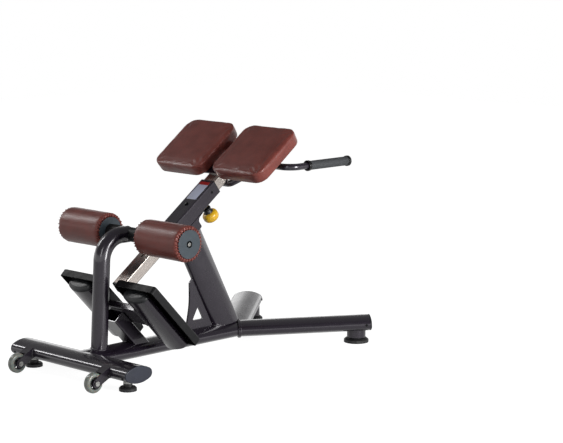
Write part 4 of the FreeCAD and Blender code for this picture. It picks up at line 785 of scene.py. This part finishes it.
def finishes(hardware, upholstery):
    """Slot name to material."""
    return {
        "frame_enamel": shared("enamel", powder_coat, hardware),
        "tray_enamel": shared("tray", tray_coat, hardware),
        "slide_chrome": shared("chrome", satin_chrome, hardware),
        "cap_plastic": shared("caps", moulded, "moulded_polypropylene", hardware.moulded, 0.42),
        "bushing_nylon": shared("nylon", moulded, "moulded_nylon", hardware.moulded, 0.5),
        "zinc_steel": shared("zinc", zinc_plate, hardware),
        "plywood": shared("plywood", plywood),
        "hub_plastic": shared("disc", moulded, "moulded_abs", hardware.disc, 0.46),
        "mat_rubber": shared("mat", rubber, "pressed_sheet_rubber", hardware.rubber, 0.5),
        "foot_rubber": shared("foot", rubber, "moulded_foot_rubber", hardware.rubber, 0.42),
        "grip_rubber": shared("grip", grip_foam, upholstery),
        "tyre_urethane": shared("tyre", urethane, hardware),
        "wheel_plastic": shared("wheel", moulded, "glass_filled_nylon", hardware.moulded, 0.4),
        "knob_yellow": shared("knob", phenolic, hardware),
        "leather": shared("leather", leather, upholstery),
    }


class CHAIR_OT_hardware(bpy.types.Operator):
    """Finish the metal, rubber and moulded pieces of the frame"""
    bl_idname = "chair.hardware"
    bl_label = "Hardware finishes"

    def execute(self, context):
        hardware = context.scene.chair_hardware
        by_slot = finishes(hardware, context.scene.chair_upholstery)
        for part in frame["record"]["subparts"]:
            node = NODES[part["node"]]
            dress(node, by_slot[part["material_slot"]])
            node.data.shade_smooth()
            node.data.set_sharp_from_angle(angle=HARD_SHARP)
        dress(NODES["roller_cross_pipe"], by_slot["tray_enamel"])
        rear = shared("rear_cap", moulded, "moulded_polyethylene", hardware.rear_cap, 0.45)
        dress(NODES["rear_caps"], rear)
        black = shared("oxide", black_oxide, hardware)
        for node in ("retaining_screws", "plunger_barrel"):
            dress(NODES[node], black)
        low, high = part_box("roller_axle")
        axle_screw = ringed_bolt(hardware, "axle_screw", (low + high) / 2, ACROSS, AXLE_BRIGHT_MM)
        dress(NODES["roller_bolts"], axle_screw)
        low, high = reach("stop_screw")
        middle = (low + high) / 2
        stop = ALONG * middle[0] + PROUD * middle[2]
        stop_finish = ringed_bolt(hardware, "stop_screw_finish", stop, PROUD, STOP_BRIGHT_MM)
        dress(NODES["stop_screw"], stop_finish)
        return {"FINISHED"}


# ---------------------------------------------------------------- decal

DECAL_WIDE = 50 * MM
DECAL_LONG = 94 * MM
DECAL_END = 8 * MM          # to the sleeve's upper end
DECAL_BAND = 16 * MM
DECAL_THICK = 0.25 * MM
DECAL_CORNER = 3 * MM
DECAL_LIFT = 0.02 * MM      # keeps the decal's back off the sleeve's skin
DECAL_SHARP = radians(40)


def make_decal():
    """A blank vinyl decal with round corners on the sleeve's top."""
    high = reach("sleeve")[1]
    plan = rounded_plan(DECAL_LONG / 2, DECAL_WIDE / 2, DECAL_CORNER)
    lifts = ((0.0, 0.0), (0.0, DECAL_THICK * 0.7), (DECAL_THICK, DECAL_THICK))
    loops = []
    for inset, height in lifts:
        long_share, wide_share = 1 - inset / DECAL_LONG * 2, 1 - inset / DECAL_WIDE * 2
        loops.append([(p.x * long_share, p.y * wide_share, height) for p in plan])
    points, faces = stacked(loops)
    place = slide_place(high[0] - DECAL_END - DECAL_LONG / 2, 0, high[2] + DECAL_LIFT)
    decal = new_piece("sleeve_decal", points, faces, place)
    decal.data.set_sharp_from_angle(angle=DECAL_SHARP)
    dress(decal, vinyl_print())
    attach(decal, "frame")


class CHAIR_OT_decal(bpy.types.Operator):
    """Stick the blank decal on the sleeve"""
    bl_idname = "chair.decal"
    bl_label = "Decal"

    def execute(self, context):
        make_decal()
        return {"FINISHED"}


# ---------------------------------------------------------------- weld beads

WELDS = (
    # node whose end is welded, and what it stands on
    ("roller_post", ("rear_cross_tube", "main_beam")),
    ("main_beam", ("rear_cross_tube",)),
    ("main_beam", ("leg_joint_plate",)),
    ("column", ("main_beam", "leg_joint_plate", "front_leg_left", "front_leg_right")),
    ("column", ("sleeve",)),
    ("foot_plate_prop", ("main_beam",)),
    ("foot_plate_prop", ("foot_plate_crossbar",)),
    ("foot_plate_crossbar", ("plate_support_left",)),
    ("foot_plate_crossbar", ("plate_support_right",)),
    ("wheel_fork_left", ("rear_cross_tube",)),
    ("wheel_fork_right", ("rear_cross_tube",)),
    ("front_leg_left", ("leg_joint_plate",)),
    ("front_leg_right", ("leg_joint_plate",)),
)
TOUCH = 0.2 * MM
BEADS_APART = 6 * MM        # a loop centred nearer than this to a longer one is the tube's inside
BEAD_SHORTEST = 60 * MM
BEAD_SIDES = 8


def closed_loops(edges):
    """Closed loops of points from loose edges."""
    beside = {}
    for edge in edges:
        for vert, other in (edge.verts, reversed(edge.verts)):
            beside.setdefault(vert, []).append(other)
    left = dict.fromkeys(vert for vert, others in beside.items() if len(others) == 2)
    loops = []
    while left:
        start = here = next(iter(left))
        del left[here]
        loop = [start.co.copy()]
        while True:
            ahead = [vert for vert in beside[here] if vert in left]
            if not ahead:
                break
            here = ahead[0]
            del left[here]
            loop.append(here.co.copy())
        if len(loop) > 3 and start in beside[here]:
            loops.append(loop)
    return loops


def joint_lines(node, others):
    """Outer edges of the faces with which one piece stands on others."""
    trees = []
    for other in others:
        trees.append(BVHTree.FromObject(NODES[other], bpy.context.evaluated_depsgraph_get()))

    def near(point):
        return any(tree.find_nearest(point, TOUCH)[0] is not None for tree in trees)

    skin = bmesh.new()
    skin.from_mesh(NODES[node].data)
    bmesh.ops.remove_doubles(skin, verts=skin.verts, dist=0.01 * MM)
    close = {vert: near(vert.co) for vert in skin.verts}
    flat = {face for face in skin.faces
            if all(close[vert] for vert in face.verts) and near(face.calc_center_median())}
    rims = [edge for edge in skin.edges if sum(face in flat for face in edge.link_faces) == 1]
    loops = sorted(closed_loops(rims), key=lambda loop: -around(loop))
    skin.free()
    kept = []
    for loop in loops:
        middle = sum(loop, Vector()) / len(loop)
        inside = any((middle - other_middle).length < BEADS_APART for other_middle, other in kept)
        if around(loop) > BEAD_SHORTEST and not inside:
            kept.append((middle, loop))
    return [loop for middle, loop in kept]


def around(loop):
    """Length of a closed loop."""
    return sum((b - a).length for a, b in zip(loop, loop[1:] + loop[:1]))


def resampled(line, step):
    """Closed line with evenly spaced points."""
    spans = [(b - a).length for a, b in zip(line, line[1:] + line[:1])]
    total = sum(spans)
    count = max(12, ceil(total / step))
    points = []
    walk = 0.0
    index = 0
    for i in range(count):
        target = total * i / count
        while walk + spans[index] < target:
            walk += spans[index]
            index += 1
        share = (target - walk) / max(spans[index], 1e-9)
        points.append(line[index].lerp(line[(index + 1) % len(line)], share))
    return points


def make_bead(name, line, settings, coat):
    """A rippled weld bead along a closed line."""
    path = resampled(line, settings.ripple / 4)
    count = len(path)
    middle = sum(path, Vector()) / count
    points = []
    for i, here in enumerate(path):
        ahead = (path[(i + 1) % count] - path[i - 1]).normalized()
        out = here - middle
        out = (out - ahead * out.dot(ahead)).normalized()
        lift = ahead.cross(out)
        wander = noise.noise(here * 90)
        radius = settings.bead * (1 + 0.13 * sin(pi / 2 * i) + 0.2 * wander)
        for k in range(BEAD_SIDES):
            turn = 2 * pi * k / BEAD_SIDES
            points.append(here + (out * cos(turn) + lift * sin(turn)) * radius)
    faces = []
    for i in range(count):
        j = (i + 1) % count
        for k in range(BEAD_SIDES):
            m = (k + 1) % BEAD_SIDES
            faces.append((i * BEAD_SIDES + k, i * BEAD_SIDES + m, j * BEAD_SIDES + m, j * BEAD_SIDES + k))
    bead = new_piece(name, points, faces)
    dress(bead, coat)
    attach(bead, "frame")


class CHAIR_OT_welds(bpy.types.Operator):
    """Lay weld beads where the tubes and plates of the frame meet"""
    bl_idname = "chair.welds"
    bl_label = "Weld beads"

    def execute(self, context):
        settings = context.scene.chair_hardware
        coat = shared("enamel", powder_coat, settings)
        for node, others in WELDS:
            for number, line in enumerate(joint_lines(node, others)):
                make_bead(f"weld_{node}_{others[0]}_{number}", line, settings, coat)
        return {"FINISHED"}


# ---------------------------------------------------------------- stage

FLOOR_HALF = 9.0
PAPER = "AEAEAE"
PAPER_GLOW = 0.92           # added for the camera, so that the paper shows plain white
MIRRORED_SHARE = 0.45       # share of that glow which mirrors see
BAND_LOW, BAND_HIGH, BAND_GLOW = 0.2, 0.3, 1.25     # the pale backdrop over the horizon
TARGET = Vector((0.4889, 0, 0.4472))                # what the camera looks at
# name, place from the chair's middle, and width and height of each lamp
LAMPS = (
    ("side_lamp", (0.3, -3.45, 0.5), (1.0, 1.8)),
    ("front_lamp", (-2.95, -1.5, 1.3), (0.45, 1.5)),
    ("rim_lamp", (-1.1, 2.4, 1.9), (0.35, 1.6)),
)


def white_to_camera(tree, shader, glow):
    """Adds to a shader a white that only the camera, mirrors and clear pieces see."""
    path = add(tree, "LightPath").outputs
    mirrored = number(tree, "MULTIPLY", path["Is Glossy Ray"], MIRRORED_SHARE)
    seen = number(tree, "MAXIMUM", path["Is Camera Ray"], mirrored)
    seen = number(tree, "MAXIMUM", seen, path["Is Transmission Ray"])
    strength = number(tree, "MULTIPLY", seen, glow)
    light = add(tree, "Emission", {"Strength": strength})
    return add(tree, "AddShader", {0: shader, 1: light.outputs[0]}).outputs[0]


def studio_floor():
    """Matt white paper: it takes the object's soft shadow and is white elsewhere."""
    material = bpy.data.materials.new("matt_paper")
    tree = emptied(material)
    place = add(tree, "TexCoord").outputs["Object"]
    tone = tint(tree, grain(tree, place, 40), linear(PAPER), 0.99, 1.01)
    paper = add(tree, "BsdfDiffuse", {"Color": tone})
    add(tree, "OutputMaterial", {"Surface": white_to_camera(tree, paper.outputs[0], PAPER_GLOW)})
    return material


def make_lamp(name, place, aim, spans, watts):
    """A large soft lamp that looks at a point."""
    lamp = bpy.data.lights.new(name, "AREA")
    lamp.shape = "RECTANGLE"
    lamp.size, lamp.size_y = spans
    lamp.energy = watts
    holder = bpy.data.objects.new(name, lamp)
    holder.location = place
    holder.rotation_euler = (aim - place).to_track_quat("-Z", "Y").to_euler()
    bpy.context.scene.collection.objects.link(holder)


class CHAIR_OT_stage(bpy.types.Operator):
    """Lay the floor, hang the lamps and set up the camera"""
    bl_idname = "chair.stage"
    bl_label = "Stage"

    def execute(self, context):
        settings = context.scene.chair_stage
        low, high = CAD_BOX
        middle = (low + high) / 2
        corners = [(-FLOOR_HALF, -FLOOR_HALF, 0), (FLOOR_HALF, -FLOOR_HALF, 0),
                   (FLOOR_HALF, FLOOR_HALF, 0), (-FLOOR_HALF, FLOOR_HALF, 0)]
        floor = new_piece("floor", corners, [(0, 1, 2, 3)])
        dress(floor, studio_floor())

        world = bpy.data.worlds.new("studio")
        context.scene.world = world
        tree = emptied(world)
        # white walls round the horizon, a dim ceiling, and plain white behind the object
        rise = add(tree, "SeparateXYZ", {"Vector": add(tree, "TexCoord").outputs["Generated"]}).outputs["Z"]
        level = add(tree, "MapRange", {"Value": rise, "From Min": 0.1, "From Max": 0.38,
                                       "To Min": settings.walls, "To Max": settings.sky}).outputs[0]
        seen = add(tree, "LightPath").outputs["Is Camera Ray"]
        # a pale backdrop just over the horizon, for grazing reflections
        band = add(tree, "MapRange", {"Value": rise, "From Min": BAND_LOW, "From Max": BAND_HIGH,
                                      "To Min": BAND_GLOW, "To Max": 0.0})
        glossy = add(tree, "LightPath").outputs["Is Glossy Ray"]
        band = number(tree, "MULTIPLY", band.outputs[0], glossy)
        level = number(tree, "MAXIMUM", number(tree, "MAXIMUM", level, band), seen)
        air = add(tree, "Background", {"Color": (1, 1, 1, 1), "Strength": level})
        add(tree, "OutputWorld", {"Surface": air.outputs[0]})

        for name, off, spans in LAMPS:
            make_lamp(name, middle + Vector(off), middle, spans, getattr(settings, name))

        back = Vector((sin(settings.azimuth) * cos(settings.elevation),
                       -cos(settings.azimuth) * cos(settings.elevation), sin(settings.elevation)))
        lens = bpy.data.cameras.new("camera")
        lens.lens = settings.lens
        camera = bpy.data.objects.new("camera", lens)
        camera.location = TARGET + back * settings.distance
        camera.rotation_euler = (-back).to_track_quat("-Z", "Y").to_euler()
        context.scene.collection.objects.link(camera)
        context.scene.camera = camera
        context.scene.view_settings.view_transform = "Standard"
        return {"FINISHED"}


# ---------------------------------------------------------------- add-on

OPERATORS = (CHAIR_OT_stage, CHAIR_OT_hardware, CHAIR_OT_pads, CHAIR_OT_rollers, CHAIR_OT_decal,
             CHAIR_OT_welds)
GROUPS = {"chair_hardware": ChairHardware, "chair_upholstery": ChairUpholstery, "chair_stage": ChairStage}


class CHAIR_PT_panel(bpy.types.Panel):
    """Settings and steps of the roman chair"""
    bl_idname = "CHAIR_PT_panel"
    bl_label = "Roman chair"
    bl_space_type = "VIEW_3D"
    bl_region_type = "UI"
    bl_category = "Roman chair"

    def draw(self, context):
        for name, group in GROUPS.items():
            box = self.layout.box()
            for key in group.__annotations__:
                box.prop(getattr(context.scene, name), key)
        for operator in OPERATORS:
            self.layout.operator(operator.bl_idname)


CLASSES = (*GROUPS.values(), *OPERATORS, CHAIR_PT_panel)


def register():
    """Registers the classes and hangs the settings on the scene."""
    for cls in CLASSES:
        bpy.utils.register_class(cls)
    for name, group in GROUPS.items():
        setattr(bpy.types.Scene, name, bpy.props.PointerProperty(type=group))


def unregister():
    """Takes the settings and classes away again."""
    for name in GROUPS:
        delattr(bpy.types.Scene, name)
    for cls in reversed(CLASSES):
        bpy.utils.unregister_class(cls)


def main():
    """Runs every step in order."""
    register()
    for operator in OPERATORS:
        group, name = operator.bl_idname.split(".")
        getattr(getattr(bpy.ops, group), name)()


if __name__ == "__main__":
    main()
